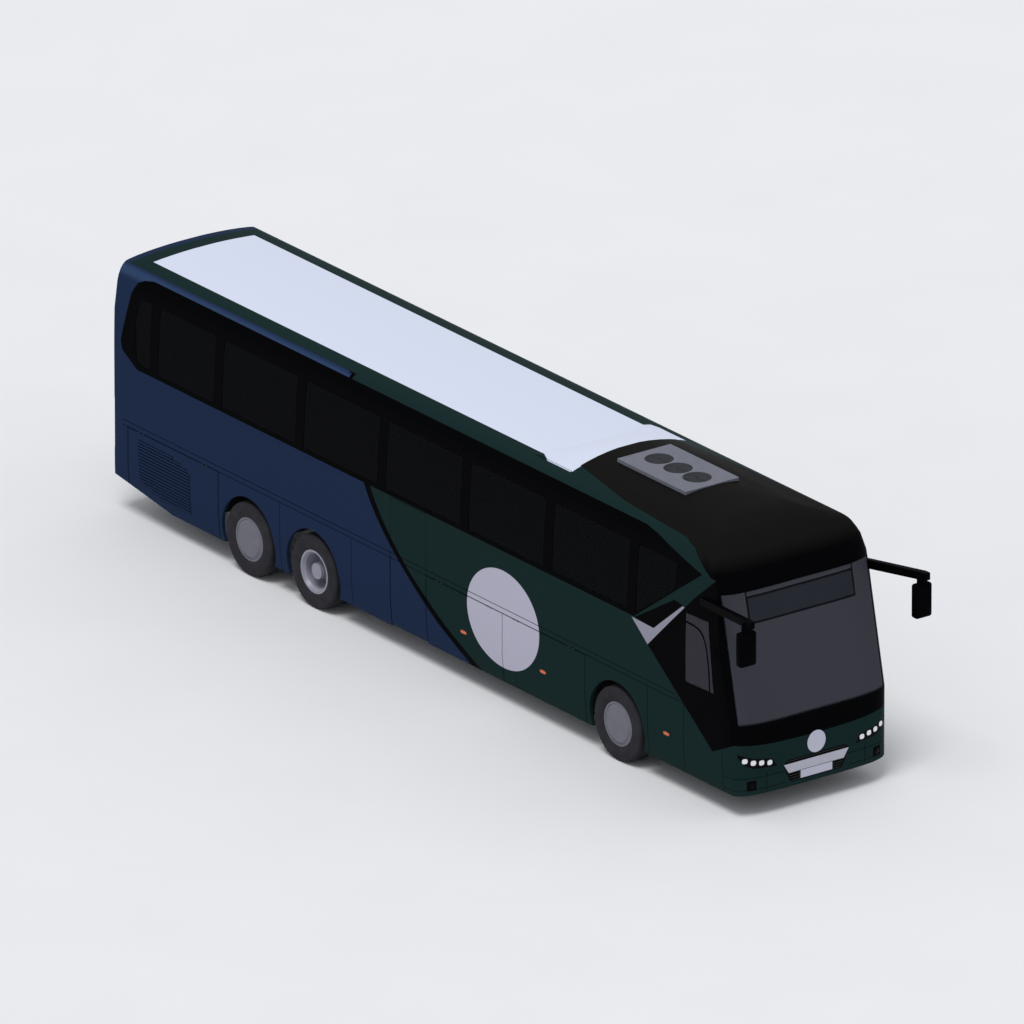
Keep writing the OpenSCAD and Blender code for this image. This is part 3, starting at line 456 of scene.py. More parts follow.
def fabric_material():
    """Woven cloth in dark blue with a fine lighter check, rough and slightly fuzzy."""
    m, sh = start("seat_cloth")
    x, y, z = position()
    finish_of(sh, 0.9, 0.15)
    sh.inputs["Sheen Weight"].default_value = 0.25
    weave = calc("SINE", x * 2600.0) * calc("SINE", (y + z * 0.8) * 2600.0)
    check = calc("SINE", x * 210.0) * calc("SINE", (y + z) * 210.0)
    base = blend_to(ramp(check, 0.5, 0.5), (0.018, 0.024, 0.055), (0.036, 0.05, 0.10))
    base = blend_to(ramp(weave, 0.2, 0.2), base, (0.09, 0.10, 0.14))
    Num.tree.links.new(base, sh.inputs["Base Color"])
    bump(sh, weave, 0.0006, 0.7)
    return m


# ---- mesh helpers ----

def make(name, verts, faces, mat, body, slot, sharp=35.0):
    """One piece of the looks, riding a body, smooth but for edges over "sharp" degrees."""
    me = bpy.data.meshes.new(name)
    me.from_pydata([tuple(v) for v in verts], [], faces)
    me.validate()
    bm = bmesh.new()
    bm.from_mesh(me)
    bmesh.ops.recalc_face_normals(bm, faces=bm.faces)
    bm.to_mesh(me)
    bm.free()
    me.shade_smooth()
    me.set_sharp_from_angle(angle=math.radians(sharp))
    o = bpy.data.objects.new(name, me)
    bpy.context.scene.collection.objects.link(o)
    me.materials.append(mat)
    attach(o, body)
    return o


class Parts:
    """Several closed forms gathered into one mesh."""

    def __init__(self):
        self.v, self.f = [], []

    def add(self, verts, faces):
        n = len(self.v)
        self.v += [Vector(v) for v in verts]
        self.f += [[n + i for i in f] for f in faces]

    def prism(self, outline, depth, place, chamfer=0.0):
        """An outline in (a, b), raised along the third axis of "place", with a chamfered front edge."""
        rings = [(0.0, 0.0), (depth - chamfer, 0.0)] + ([(depth, chamfer)] if chamfer else [])
        n = len(outline)
        verts, faces = [], []
        cx, cy = sum(p[0] for p in outline) / n, sum(p[1] for p in outline) / n
        for h, inset in rings:
            for px, py in outline:
                k = max(0.0, 1 - inset / max(1e-6, math.hypot(px - cx, py - cy)))
                verts.append(place @ Vector((cx + (px - cx) * k, cy + (py - cy) * k, h)))
        for r in range(len(rings) - 1):
            for i in range(n):
                j = (i + 1) % n
                faces.append([r * n + i, r * n + j, (r + 1) * n + j, (r + 1) * n + i])
        faces.append(list(range(n))[::-1])
        faces.append([(len(rings) - 1) * n + i for i in range(n)])
        self.add(verts, faces)

    def turned(self, profile, place, n=32, closed=False):
        """A profile of (radius, height) turned about the third axis of "place"."""
        verts, faces = [], []
        m = len(profile)
        for i in range(n):
            a = 2 * math.pi * i / n
            for r, h in profile:
                verts.append(place @ Vector((r * math.cos(a), r * math.sin(a), h)))
        for i in range(n):
            j = (i + 1) % n
            for k in range(m if closed else m - 1):
                l = (k + 1) % m
                faces.append([i * m + k, j * m + k, j * m + l, i * m + l])
        if not closed:
            for k, flip in ((0, False), (m - 1, True)):
                if profile[k][0] > 1e-6:
                    ring = [i * m + k for i in range(n)]
                    faces.append(ring if flip else ring[::-1])
        self.add(verts, faces)

    def ribbon(self, stations, section):
        """A closed section of (up, out) points carried along a row of matrices."""
        n, last = len(section), len(section) * (len(stations) - 1)
        verts = [m4 @ Vector((0, b, h)) for m4 in stations for b, h in section]
        faces = [[k + c, k + n + c, k + n + (c + 1) % n, k + (c + 1) % n]
                 for k in range(0, last, n) for c in range(n)]
        self.add(verts, faces + [list(range(n))[::-1], list(range(last, last + n))])

    def rod(self, p, q, r, n=8):
        """A round rod from p to q."""
        p, q = Vector(p), Vector(q)
        d = q - p
        place = Matrix.Translation(p) @ d.to_track_quat("Z", "Y").to_matrix().to_4x4()
        self.turned([(r, 0), (r, d.length)], place, n)

    def piece(self, name, mat, body, slot, sharp=35.0):
        return make(name, self.v, self.f, mat, body, slot, sharp)


def axes(origin, a, b, c):
    """A matrix whose columns are the directions a, b and c."""
    m = Matrix.Identity(4)
    for i, d in enumerate((a, b, c)):
        m.col[i] = (*Vector(d).normalized(), 0)
    m.col[3] = (*Vector(origin), 1)
    return m


trees = {}
OUTSIDE_X, OUTSIDE_FRONT_S, OUTSIDE_BACK_S = 5, -5, 30  # where the rays that look for a surface start


def surface(names, origin, direction):
    """First point and normal where a line meets the CAD nodes."""
    best = None
    for n in names:
        if n not in trees:
            me = nodes[n].data
            trees[n] = BVHTree.FromPolygons([v.co for v in me.vertices], [p.vertices for p in me.polygons])
        hit = trees[n].ray_cast(Vector(origin), Vector(direction))
        if hit[0] is not None and (best is None or hit[3] < best[2]):
            best = (hit[0], hit[1], hit[3])
    if best is None:
        raise RuntimeError(f"nothing of {names} is met from {tuple(origin)}")
    n = best[1] if best[1].dot(Vector(direction)) < 0 else -best[1]
    return best[0], n


def on_side(names, sign, s, z):
    """A matrix on the side of the coach: first axis backwards, second upwards, third outwards."""
    p, n = surface(names, (sign * OUTSIDE_X, S0 + s, z), (-sign, 0, 0))
    up = (Vector((0, 0, 1)) - n * n.z).normalized()
    return axes(p, n.cross(up) * -1 if sign > 0 else n.cross(up), up, n)


def on_end(names, x, z, back=False):
    """A matrix on the front face, or the back: first axis across, second upwards, third outwards."""
    start_s, d = (OUTSIDE_BACK_S, -1) if back else (OUTSIDE_FRONT_S, 1)
    p, n = surface(names, (x, S0 + start_s, z), (0, d, 0))
    up = (Vector((0, 0, 1)) - n * n.z).normalized()
    return axes(p, up.cross(n), up, n)


def flat_end(y, back=False):
    """A matrix on an upright plane at y that faces forwards, or backwards, with z as its second axis."""
    d = -1 if back else 1
    return axes((0, y, 0), (d, 0, 0), (0, 0, 1), (0, -d, 0))


def oval(w, h, n=20, power=2.5):
    """A rounded outline between an ellipse (power 2) and a rectangle (high powers)."""
    def swell(c, size):
        return size / 2 * math.copysign(abs(c) ** (2 / power), c)

    turns = [2 * math.pi * i / n for i in range(n)]
    return [(swell(math.cos(a), w), swell(math.sin(a), h)) for a in turns]


def oblong(half_w, foot, top):
    """A rectangle that lies evenly about the middle."""
    return [(-half_w, foot), (half_w, foot), (half_w, top), (-half_w, top)]


# ---- materials ----

livery = livery_material()
mats = {
    "frame_steel": plain("frame_paint", (0.03, 0.031, 0.033), 0.55, 0.4, grain=0.0004, grain_scale=300),
    "deck": plain("floor_covering", (0.045, 0.047, 0.05), 0.8, 0.2, grain=0.0006, grain_scale=500),
    "tinted_glass": glass_material("dark_glass", srgb(12, 13, 15), 0.9, side_print),
    "screen_glass": glass_material("screen_glass", srgb(64, 65, 73), 0.9, screen_print),
    "lamp": plain("lamp_housing", (0.003, 0.003, 0.004), 0.25, 0.03, vary=0.2),
    "tail_lamp": tail_lens_material(),
    "black_gloss": plain("black_gloss", BLACK, 0.3, 0.006, vary=0.2, grain=0.0002, grain_scale=60),
    "black_plastic": plain("black_plastic", (0.012, 0.012, 0.013), 0.6, 0.35, grain=0.0008, grain_scale=700),
    "steel": plain("hinge_steel", (0.02, 0.022, 0.026), 0.6, 0.2, grain=0.0002),
    "rubber": plain("rubber", (0.014, 0.014, 0.015), 0.8, 0.2, grain=0.0006),
    "engine_iron": plain("engine_iron", (0.08, 0.085, 0.09), 0.6, 0.4, grain=0.001, grain_scale=250),
    "grey_panel": plain("grey_panel", srgb(107, 109, 120), 0.5, 0.2, vary=0.06, grain=0.0002,
                        grain_scale=200),
}
tyre_rubber = plain("tyre_rubber", (0.021, 0.021, 0.025), 0.85, 0.2, vary=0.25, scale=6.0,
                    grain=0.0008, grain_scale=400)
wheel_finish = dict(rough=0.42, spec=0.3, metal=0.1, vary=0.07, grain=0.0002, grain_scale=300)
wheel_paint = plain("wheel_paint", srgb(107, 106, 117), **wheel_finish)
# Painted light: the drive wheels' dish and hub cap get a lighter copy of the wheel paint, to lift the shade
# of their deep recess
dish_paint_painted_light = plain("dish_paint_painted_light", srgb(146, 145, 158), **wheel_finish)
nut_steel = plain("nut_steel", (0.30, 0.30, 0.32), 0.38, 0.5, metal=1.0)
pale_lens = plain("pale_lens", (0.85, 0.86, 0.92), 0.15, 0.5, coat=0.5, vary=0.04)
amber = plain("amber_lens", srgb(214, 92, 8), 0.2, 0.5, coat=0.4, vary=0.1)
red = plain("clear_red", (0.45, 0.012, 0.01), 0.2, 0.5, coat=0.4)
silver_trim = plain("silver_trim", srgb(176, 176, 190), 0.35, 0.5, metal=0.2, coat=0.2, vary=0.04)
pale_sign = plain("pale_sign", srgb(188, 188, 204), 0.5, 0.3, vary=0.03)
mirror_glass = plain("mirror_glass", (0.75, 0.76, 0.78), 0.04, 0.5, metal=1.0, vary=0.02)
fan_grey = plain("fan_grey", srgb(64, 66, 70), 0.55, 0.2, grain=0.0004)


seat_cloth = fabric_material()
slot_of = {p["node"]: p["material_slot"] for p in frame["record"]["subparts"]}
for name, o in nodes.items():
    kind = slot_of[name]
    if kind in ("body_paint", "roof_paint", "front_paint") or name == "front_cap":
        mat = livery
    elif kind == "tyre":
        mat = tyre_rubber
    elif kind == "wheel_paint":
        # The drive wheels take the lighter copy of the wheel paint, with painted light against their recess's
        # shade
        mat = dish_paint_painted_light if name.startswith("drive_") else wheel_paint
    elif kind == "seat_fabric":
        mat = seat_cloth
    else:
        mat = mats[kind]
    o.data.materials.clear()
    o.data.materials.append(mat)
    for p in o.data.polygons:
        p.material_index = 0


# ---- smooth shading of the CAD nodes, with real edges kept sharp ----

def smoother():
    """A modifier that welds the CAD facets and shades them smooth up to 24 degrees."""
    g = bpy.data.node_groups.new("smooth_forms", "GeometryNodeTree")
    g.interface.new_socket("Geometry", in_out="INPUT", socket_type="NodeSocketGeometry")
    g.interface.new_socket("Geometry", in_out="OUTPUT", socket_type="NodeSocketGeometry")
    i, o = g.nodes.new("NodeGroupInput"), g.nodes.new("NodeGroupOutput")
    weld = g.nodes.new("GeometryNodeMergeByDistance")
    weld.inputs["Distance"].default_value = 0.00002
    faces = g.nodes.new("GeometryNodeSetShadeSmooth")
    edges = g.nodes.new("GeometryNodeSetShadeSmooth")
    edges.domain = "EDGE"
    edges.inputs["Shade Smooth"].default_value = False
    angle = g.nodes.new("GeometryNodeInputMeshEdgeAngle")
    big = g.nodes.new("ShaderNodeMath")
    big.operation = "GREATER_THAN"
    big.inputs[1].default_value = math.radians(24)
    g.links.new(i.outputs[0], weld.inputs["Geometry"])
    g.links.new(weld.outputs[0], faces.inputs["Geometry"])
    g.links.new(faces.outputs[0], edges.inputs["Geometry"])
    g.links.new(angle.outputs[0], big.inputs[0])
    g.links.new(big.outputs[0], edges.inputs["Selection"])
    g.links.new(edges.outputs[0], o.inputs[0])
    return g


smooth_forms = smoother()
for o in nodes.values():
    md = o.modifiers.new("smooth", "NODES")
    md.node_group = smooth_forms


# ---- tyres and wheels ----

def tyre(parts, x, s):
    """One tyre with its tread grooves, shoulder blocks and sidewall ribs, about the axle line."""
    bead = [(0.110, 0.2925), (0.122, 0.300), (0.131, 0.318), (0.1345, 0.322)]
    sidewall = [(0.1365, 0.333), (0.1435, 0.365), (0.1475, 0.405), (0.1455, 0.445), (0.1410, 0.470)]
    shoulder = [(0.1420, 0.474), (0.1390, 0.486), (0.132, 0.503), (0.124, 0.5125), (0.112, 0.5172)]
    tread = [(0.102, 0.5182), (0.080, 0.5195), (0.078, 0.507), (0.069, 0.507), (0.067, 0.5203),
             (0.031, 0.5216), (0.029, 0.508), (0.020, 0.508), (0.018, 0.5219)]
    half = bead + sidewall + shoulder + tread
    profile = [(-a, r) for a, r in half] + [(a, r) for a, r in half[::-1]]
    n, m = 144, len(profile)
    block_every, block_depth = 3, 0.008
    verts, faces = [], []
    for i in range(n):
        t = 2 * math.pi * i / n
        for a, r in profile:
            on_shoulder = 0.085 < abs(a) < 0.145 and r > 0.49
            gap = on_shoulder and (i + (a > 0)) % block_every == 0
            rr = r - (block_depth if gap else 0.0)
            verts.append((x + a, S0 + s + rr * math.sin(t), TYRE_R - rr * math.cos(t)))
    for i in range(n):
        j = (i + 1) % n
        for k in range(m):
            l = (k + 1) % m
            faces.append([i * m + k, i * m + l, j * m + l, j * m + k])
    parts.add(verts, faces)


def outward(sign, origin):
    """A matrix whose third axis points out of that side of the coach."""
    return axes(origin, (0, 1, 0), (0, 0, sign), (sign, 0, 0))


def wheel_nuts(wheel, sign, s):
    """A ring of nuts on washers, each with the end of its stud, on the CAD wheel's face."""
    nuts = Parts()
    for i in range(NUTS):
        a = 2 * math.pi * (i + 0.5) / NUTS
        y, z = S0 + s + NUT_CIRCLE_R * math.cos(a), TYRE_R + NUT_CIRCLE_R * math.sin(a)
        at, _ = surface([wheel], (sign * OUTSIDE_X, y, z), (-sign, 0, 0))
        base = outward(sign, at)
        nuts.turned([(0.019, -0.002), (0.019, 0.003), (0.016, 0.005)], base, 16)
        nuts.turned([(0.0155, 0.004), (0.0155, 0.020), (0.013, 0.0225)], base, 6)
        nuts.turned([(0.0085, 0.020), (0.0085, 0.029), (0.007, 0.031)], base, 10)
    return nuts


def hub_cap(wheel, sign, s):
    """A stepped round cap on the hub, placed by a ray that misses the seam at the wheel's very centre."""
    off_centre = 0.004
    at, _ = surface([wheel], (sign * OUTSIDE_X, S0 + s + off_centre, TYRE_R + off_centre), (-sign, 0, 0))
    cap = Parts()
    cap.turned([(0.112, -0.003), (0.112, 0.012), (0.108, 0.016), (0.092, 0.016), (0.088, 0.013),
                (0.0, 0.015)], outward(sign, (at.x, S0 + s, TYRE_R)), 48)
    return cap


def wheel_cover(face_x, sign, s):
    """A plain cover with a bevelled rim, set back from the tyre's outer face at face_x."""
    cover = Parts()
    cover.turned([(0.288, -0.012), (0.288, 0.002), (0.284, 0.006), (0.276, 0.008), (0.238, 0.036),
                  (0.232, 0.038), (0.226, 0.0375), (0.222, 0.0355), (0.0, 0.0355)],
                 outward(sign, (sign * (face_x - COVER_SET_IN), S0 + s, TYRE_R)), 64)
    return cover


# The deep drive wheels show their nuts and hub; the others have a plain cover with a bevelled rim
for axle, s in AXLES.items():
    for side, sign in (("right", -1), ("left", 1)):
        twin = "s" if axle == "drive" else ""
        wheel = f"{axle}_{side}_wheel"
        body = wheel + twin
        cad = f"{axle}_{side}_tyre{twin}"
        lo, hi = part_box(cad)
        rubber = Parts()
        for x in (lo.x + TYRE_W / 2, hi.x - TYRE_W / 2) if twin else ((lo.x + hi.x) / 2,):
            tyre(rubber, x, s)
        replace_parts(rubber.piece(f"{body}_rubber", tyre_rubber, body, "tyre", 50), cad)
        if twin:
            wheel_nuts(wheel, sign, s).piece(f"{body}_nuts", nut_steel, body, "steel", 30)
            hub_cap(wheel, sign, s).piece(f"{body}_hub_cap", dish_paint_painted_light, body, "wheel_paint", 30)
        else:
            cover = wheel_cover(max(abs(lo.x), abs(hi.x)), sign, s)
            cover.piece(f"{body}_cover", wheel_paint, body, "wheel_paint", 25)


# ---- head lamps, fog lamps, grille and plate ----

def plate_piece(name, outline, depth, place, chamfer, mat, body="coach", slot="black_gloss"):
    """One flat plate with a chamfered front edge, as a piece of its own."""
    p = Parts()
    p.prism(outline, depth, place, chamfer)
    p.piece(name, mat, body, slot)


HEAD_LAMPS = ((0.76, 0.725), (0.885, 0.745), (1.005, 0.762), (1.12, 0.80))  # (x, z) on either side
bezel_profile = [(0.049, -0.001), (0.049, 0.003), (0.046, 0.004), (0.043, 0.0035), (0.042, 0.001)]
lenses, bezels = Parts(), Parts()
for sign in (-1, 1):
    for x, z in HEAD_LAMPS:
        at = on_end(["headlights"], sign * x, z)
        lenses.prism(oval(0.078, 0.070, 20, 3.0), 0.006, at, 0.003)
        bezels.turned(bezel_profile, at, 24, closed=True)
lenses.piece("headlamp_lenses", pale_lens, "coach", "lamp")
bezels.piece("headlamp_bezels", mats["black_plastic"], "coach", "lamp")


GRILLE_BARS, GRILLE_BAR_FOOT, GRILLE_BAR_STEP = 9, 0.39, 0.0345
GRILLE_FOOT, GRILLE_WIDEST, GRILLE_TOP = (0.42, 0.37), (0.55, 0.635), (0.47, 0.69)  # (half width, z)


def grille_half_w(z):
    """Half the width of the grille: it widens up to the top of the silver bar, then narrows."""
    near, far = (GRILLE_FOOT, GRILLE_WIDEST) if z < GRILLE_WIDEST[1] else (GRILLE_WIDEST, GRILLE_TOP)
    return near[0] + (far[0] - near[0]) * (z - near[1]) / (far[1] - near[1])


bars = Parts()
for i in range(GRILLE_BARS):
    z = GRILLE_BAR_FOOT + i * GRILLE_BAR_STEP
    reach = grille_half_w(z) - 0.02
    stations = [on_end(["front_grille"], k / 6 * reach, z) for k in range(-6, 7)]
    bars.ribbon(stations, ((-0.005, 0.0), (-0.004, 0.007), (0.004, 0.007), (0.005, 0.0)))
bars.piece("grille_bars", mats["black_plastic"], "coach", "black_gloss")

at = on_end(["front_grille"], 0, 0.565)
grille_face = flat_end(at.translation.y)
bar_outline = [(-0.455, 0.505), (0.455, 0.505), (0.535, 0.632), (-0.535, 0.632)]
plate_piece("grille_silver_bar", bar_outline, 0.012, grille_face, 0.004, silver_trim, slot="front_paint")
plate_piece("plate_holder", oblong(0.275, 0.382, 0.508), 0.012, grille_face, 0.003, mats["black_plastic"])
plate_piece("blank_plate", oblong(0.26, 0.390, 0.500), 0.0145, grille_face, 0.001, pale_sign,
            slot="front_paint")
plate_piece("plain_roundel", oval(0.30, 0.31, 40, 2.0), 0.004, on_end(["front_panel"], 0, 0.85), 0.0015,
            pale_sign, slot="front_paint")

FOG_LAMP_X, FOG_LAMP_Z = 1.03, 0.445
frames, lenses = Parts(), Parts()
for sign in (-1, 1):
    at = on_end(["front_panel"], sign * FOG_LAMP_X, FOG_LAMP_Z)
    frames.prism(oblong(0.066, -0.066, 0.066), 0.005, at, 0.003)
    lenses.turned([(0.046, 0.004), (0.046, 0.007), (0.040, 0.010), (0.0, 0.012)], at, 24)
frames.piece("fog_lamp_frames", mats["black_gloss"], "coach", "black_gloss")
lenses.piece("fog_lamp_lenses", mats["lamp"], "coach", "lamp")


# ---- side markers, louvres and flap locks ----

MARKERS = {("right", 6.05): "right_flap_rear", ("right", 4.29): "right_flap_front",
           ("right", 1.58): "right_wall", ("left", 6.05): "left_flap_middle",
           ("left", 4.29): "left_flap_front", ("left", 1.62): "left_wall"}
MARKER_Z = 0.75
for (side, s), node in MARKERS.items():
    body = "coach" if node.endswith("wall") else node
    at = on_side([node], -1 if side == "right" else 1, s, MARKER_Z)
    place = f"{side}_{int(s * 100)}"
    plate_piece(f"marker_base_{place}", oval(0.165, 0.072), 0.006, at, 0.003, mats["black_plastic"], body)
    plate_piece(f"marker_lens_{place}", oval(0.125, 0.044), 0.011, at, 0.004, amber, body, "lamp")

# The slatted field on the service flaps, as an outline of (s, z)
LOUVRE = [(13.38, 0.59), (13.40, 1.19), (12.74, 1.195), (12.23, 1.057), (12.21, 0.452), (12.80, 0.45)]
SLATS, SLAT_FOOT, SLAT_STEP = 16, 0.478, 0.0455


def span(outline, z):
    """Ends of the line at height z inside an outline."""
    xs = []
    for a, b in zip(outline, outline[1:] + outline[:1]):
        if (a[1] - z) * (b[1] - z) < 0:
            xs.append(a[0] + (b[0] - a[0]) * (z - a[1]) / (b[1] - a[1]))
    return min(xs), max(xs)


def strip_section(half_h, lower_out, upper_out):
    """A strip that stands out by different amounts at its lower and upper edges, sunk 1 mm into the flap."""
    return ((-half_h, -0.001), (-half_h, lower_out), (half_h, upper_out), (half_h, -0.001))


for side, sign in (("right", -1), ("left", 1)):
    node = f"{side}_service_flap"
    slats, painted_shade_strips = Parts(), Parts()
    for i in range(SLATS):
        z = SLAT_FOOT + i * SLAT_STEP
        a, b = span(LOUVRE, z)
        # Painted shade: black strips behind the slats stand for the shaded openings between them
        painted_shade_strips.ribbon([on_side([node], sign, s, z) for s in (a, b)], strip_section(0.0227, 0.0015, 0.0015))
        slats.ribbon([on_side([node], sign, s, z) for s in (a + 0.004, b - 0.004)],
                     strip_section(0.0135, 0.008, 0.0032))
    slats.piece(f"{side}_louvre_slats", livery, node, "body_paint", 20)
    painted_shade_strips.piece(f"{side}_louvre_painted_shade", mats["black_gloss"], node, "black_gloss", 20)

LOCK_FROM_END, LOCK_Z = 0.22, 0.395
SKIRT_RISES_S, SKIRT_SLOPE = 12.5, 0.16  # the locks follow the lower edge, which rises near the back
for node, (front, rear) in FLAPS.items():
    sign = -1 if node.startswith("right") else 1
    plates, barrels = Parts(), Parts()
    for s in (front + LOCK_FROM_END, rear - LOCK_FROM_END):
        skirt_rise = SKIRT_SLOPE * max(0.0, s - SKIRT_RISES_S)
        at = on_side([node], sign, s, LOCK_Z + skirt_rise)
        plates.prism(oval(0.11, 0.034, 24, 3.0), 0.004, at, 0.002)
        barrels.turned([(0.009, 0.003), (0.009, 0.006), (0.007, 0.007), (0.0, 0.007)], at, 16)
    plates.piece(f"{node}_lock_plates", livery, node, "body_paint")
    barrels.piece(f"{node}_lock_barrels", mats["black_plastic"], node, "steel")


# ---- door handle and the divider of the driver's window ----

HANDLE_S, HANDLE_Z = 1.42, 1.25
at = on_side(["front_door"], 1, HANDLE_S, HANDLE_Z)
plate_piece("front_door_handle_plate", oval(0.05, 0.16, 24, 3.5), 0.006, at, 0.003, mats["black_plastic"],
            "front_door")
grip, stand_off, half_l, post = Parts(), 0.022, 0.055, 0.05
grip.rod(at @ Vector((0, -half_l, stand_off)), at @ Vector((0, half_l, stand_off)), 0.008, 12)
for end in (-post, post):
    grip.rod(at @ Vector((0, end, 0.0)), at @ Vector((0, end, stand_off)), 0.007, 10)
grip.piece("front_door_handle", mats["steel"], "front_door", "steel")


def window_divider():
    """A raised bar, 28 mm wide, that curves from the top of the driver's window down to its foot."""
    path = [(1.178, 2.464), (1.05, 2.462), (0.93, 2.450), (0.86, 2.425), (0.80, 2.375), (0.755, 2.30),
            (0.72, 2.20), (0.695, 2.08), (0.675, 1.95), (0.66, 1.80), (0.65, 1.645)]
    section = ((-0.014, 0.0), (-0.012, 0.004), (0.012, 0.004), (0.014, 0.0))
    n, last = len(section), len(path) - 1
    verts, faces = [], []
    for i, (s, z) in enumerate(path):
        before, after = path[max(0, i - 1)], path[min(last, i + 1)]
        along = Vector((after[0] - before[0], after[1] - before[1])).normalized()
        for aside, out in section:
            at = on_side(["right_windows", "right_wall"], -1, s - along.y * aside, z + along.x * aside)
            verts.append(at.translation + Vector((-out, 0, 0)))
    for i in range(last):
        for c in range(n):
            d = (c + 1) % n
            faces.append([n * i + c, n * i + n + c, n * i + n + d, n * i + d])
    ends = [list(range(n))[::-1], list(range(n * last, n * last + n))]
    return verts, faces + ends


make("driver_window_divider", *window_divider(), mats["black_gloss"], "coach", "black_gloss", 40)


# ---- rear: lamps, plate, louvres and handle ----

TAIL_LIGHT_X = 1.14
reds, ambers, clears = Parts(), Parts(), Parts()
tail_lights = ((1.02, reds, 0.062), (1.20, reds, 0.062), (1.36, ambers, 0.055), (1.49, clears, 0.045))
for sign in (-1, 1):
    for z, part, r in tail_lights:
        at = on_end(["tail_lamps"], sign * TAIL_LIGHT_X, z, back=True)
        part.turned([(r, -0.004), (r, 0.005), (r * 0.93, 0.009), (r * 0.6, 0.012), (0.0, 0.013)], at, 32)
for part, kind, mat in ((reds, "red", red), (ambers, "amber", amber), (clears, "clear", pale_lens)):
    part.piece(f"tail_lamp_{kind}", mat, "coach", "tail_lamp")

DOOR_SLATS, DOOR_SLAT_FOOT, DOOR_SLAT_STEP = 12, 0.98, 0.042
DOOR_SLAT_ENDS = ((-0.82, -0.30), (0.30, 0.82))
louvres = Parts()
for i in range(DOOR_SLATS):
    z = DOOR_SLAT_FOOT + DOOR_SLAT_STEP * i
    for x0, x1 in DOOR_SLAT_ENDS:
        stations = [on_end(["engine_door"], x0 + (x1 - x0) * k / 4, z, back=True) for k in range(5)]
        louvres.ribbon(stations, ((-0.012, -0.001), (-0.014, 0.009), (0.012, 0.002), (0.012, -0.001)))
louvres.piece("engine_door_louvres", mats["black_plastic"], "engine_door", "black_gloss", 25)

at = on_end(["engine_door"], 0, 0.80, back=True)
door_face = flat_end(at.translation.y - 0.001, back=True)
plate_piece("rear_blank_plate", oblong(0.26, 0.745, 0.855), 0.005, door_face, 0.001, pale_sign,
            "engine_door", "front_paint")
plate_piece("engine_door_handle", oblong(0.11, 0.68, 0.71), 0.006, door_face, 0.004, mats["black_plastic"],
            "engine_door")


# ---- mirrors, destination box, roof fans ----

MIRROR_IN = 0.135                       # from the mirrors' outermost point to the middle of the glass
MIRROR_GLASSES = ((2.68, 0.27), (2.475, 0.10))  # height of the middle and size of each glass
glasses = Parts()
for sign in (-1, 1):
    x = sign * (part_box("mirrors")[1].x - MIRROR_IN)
    for z, h in MIRROR_GLASSES:
        loc, _ = surface(["mirrors"], (x, S0 + 0.6, z), (0, -1, 0))
        at = axes(loc, (sign, 0, 0), (0, 0, 1), (0, 1, 0))
        glasses.prism(oval(0.19, h, 28, 5.0), 0.003, at, 0.001)
glasses.piece("mirror_glasses", mirror_glass, "coach", "black_gloss")

# The destination box follows the curve of the windscreen, 50 mm behind it
BOX_HALF_W, BOX_Z = 0.88, 2.785
box = Parts()
stations = [on_end(["windscreen"], BOX_HALF_W * k / 5, BOX_Z) for k in range(-5, 6)]
box.ribbon(stations, ((-0.185, -0.08), (-0.185, -0.05), (0.185, -0.05), (0.185, -0.08)))
box.piece("destination_box", mats["black_plastic"], "coach", "black_gloss")

FANS, FAN_STEP, FAN_DEPTH = 3, 0.415, 0.060
FAN_BLADES, GUARD_RINGS, GUARD_SPOKES = 7, 9, 4


def fan_blade(place, turn):
    """One blade that widens and rises outwards, 4 mm thick."""
    c, s = math.cos(turn), math.sin(turn)
    top = []
    for r in (0.05, 0.10, 0.15, 0.18):
        w = 0.03 + 0.22 * r
        for t, h in ((-w, 0.010), (w, 0.030)):
            top.append(place @ Vector((r * c - t * s, r * s + t * c, h)))
    under = [v - Vector((0, 0, 0.004)) for v in top]
    n = len(top)
    faces = [[0, 1, n + 1, n], [n - 2, 2 * n - 2, 2 * n - 1, n - 1]]
    for k in range(0, n - 2, 2):
        faces += [[k, k + 2, k + 3, k + 1], [n + k, n + k + 1, n + k + 3, n + k + 2],
                  [k, n + k, n + k + 2, k + 2], [k + 1, k + 3, n + k + 3, n + k + 1]]
    return top + under, faces


blades, guards = Parts(), Parts()
for i in range(FANS):
    s = middle_s("roof_unit") + FAN_STEP * (i - (FANS - 1) / 2)
    centre = Vector((0, S0 + s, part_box("roof_unit")[1].z - FAN_DEPTH))
    place = axes(centre, (1, 0, 0), (0, 1, 0), (0, 0, 1))
    blades.turned([(0.055, 0.0), (0.055, 0.03), (0.045, 0.036), (0.0, 0.038)], place, 24)
    for k in range(FAN_BLADES):
        blades.add(*fan_blade(place, 2 * math.pi * k / FAN_BLADES))
    for k in range(GUARD_RINGS):
        lo_r, hi_r = 0.0265 + k * 0.0195, 0.0335 + k * 0.0195
        guards.turned([(lo_r, 0.050), (hi_r, 0.050), (hi_r, 0.057), (lo_r, 0.057)], place, 40, closed=True)
    for k in range(GUARD_SPOKES):
        a = 2 * math.pi * (k + 0.5) / GUARD_SPOKES
        d = Vector((math.cos(a), math.sin(a), 0))
        spoke_z = Vector((0, 0, 0.0475))
        guards.rod(centre + d * 0.03 + spoke_z, centre + d * 0.192 + spoke_z, 0.004, 6)
blades.piece("roof_fan_blades", fan_grey, "coach", "grey_panel", 30)
guards.piece("roof_fan_guards", fan_grey, "coach", "grey_panel", 30)


# ---- seats ----

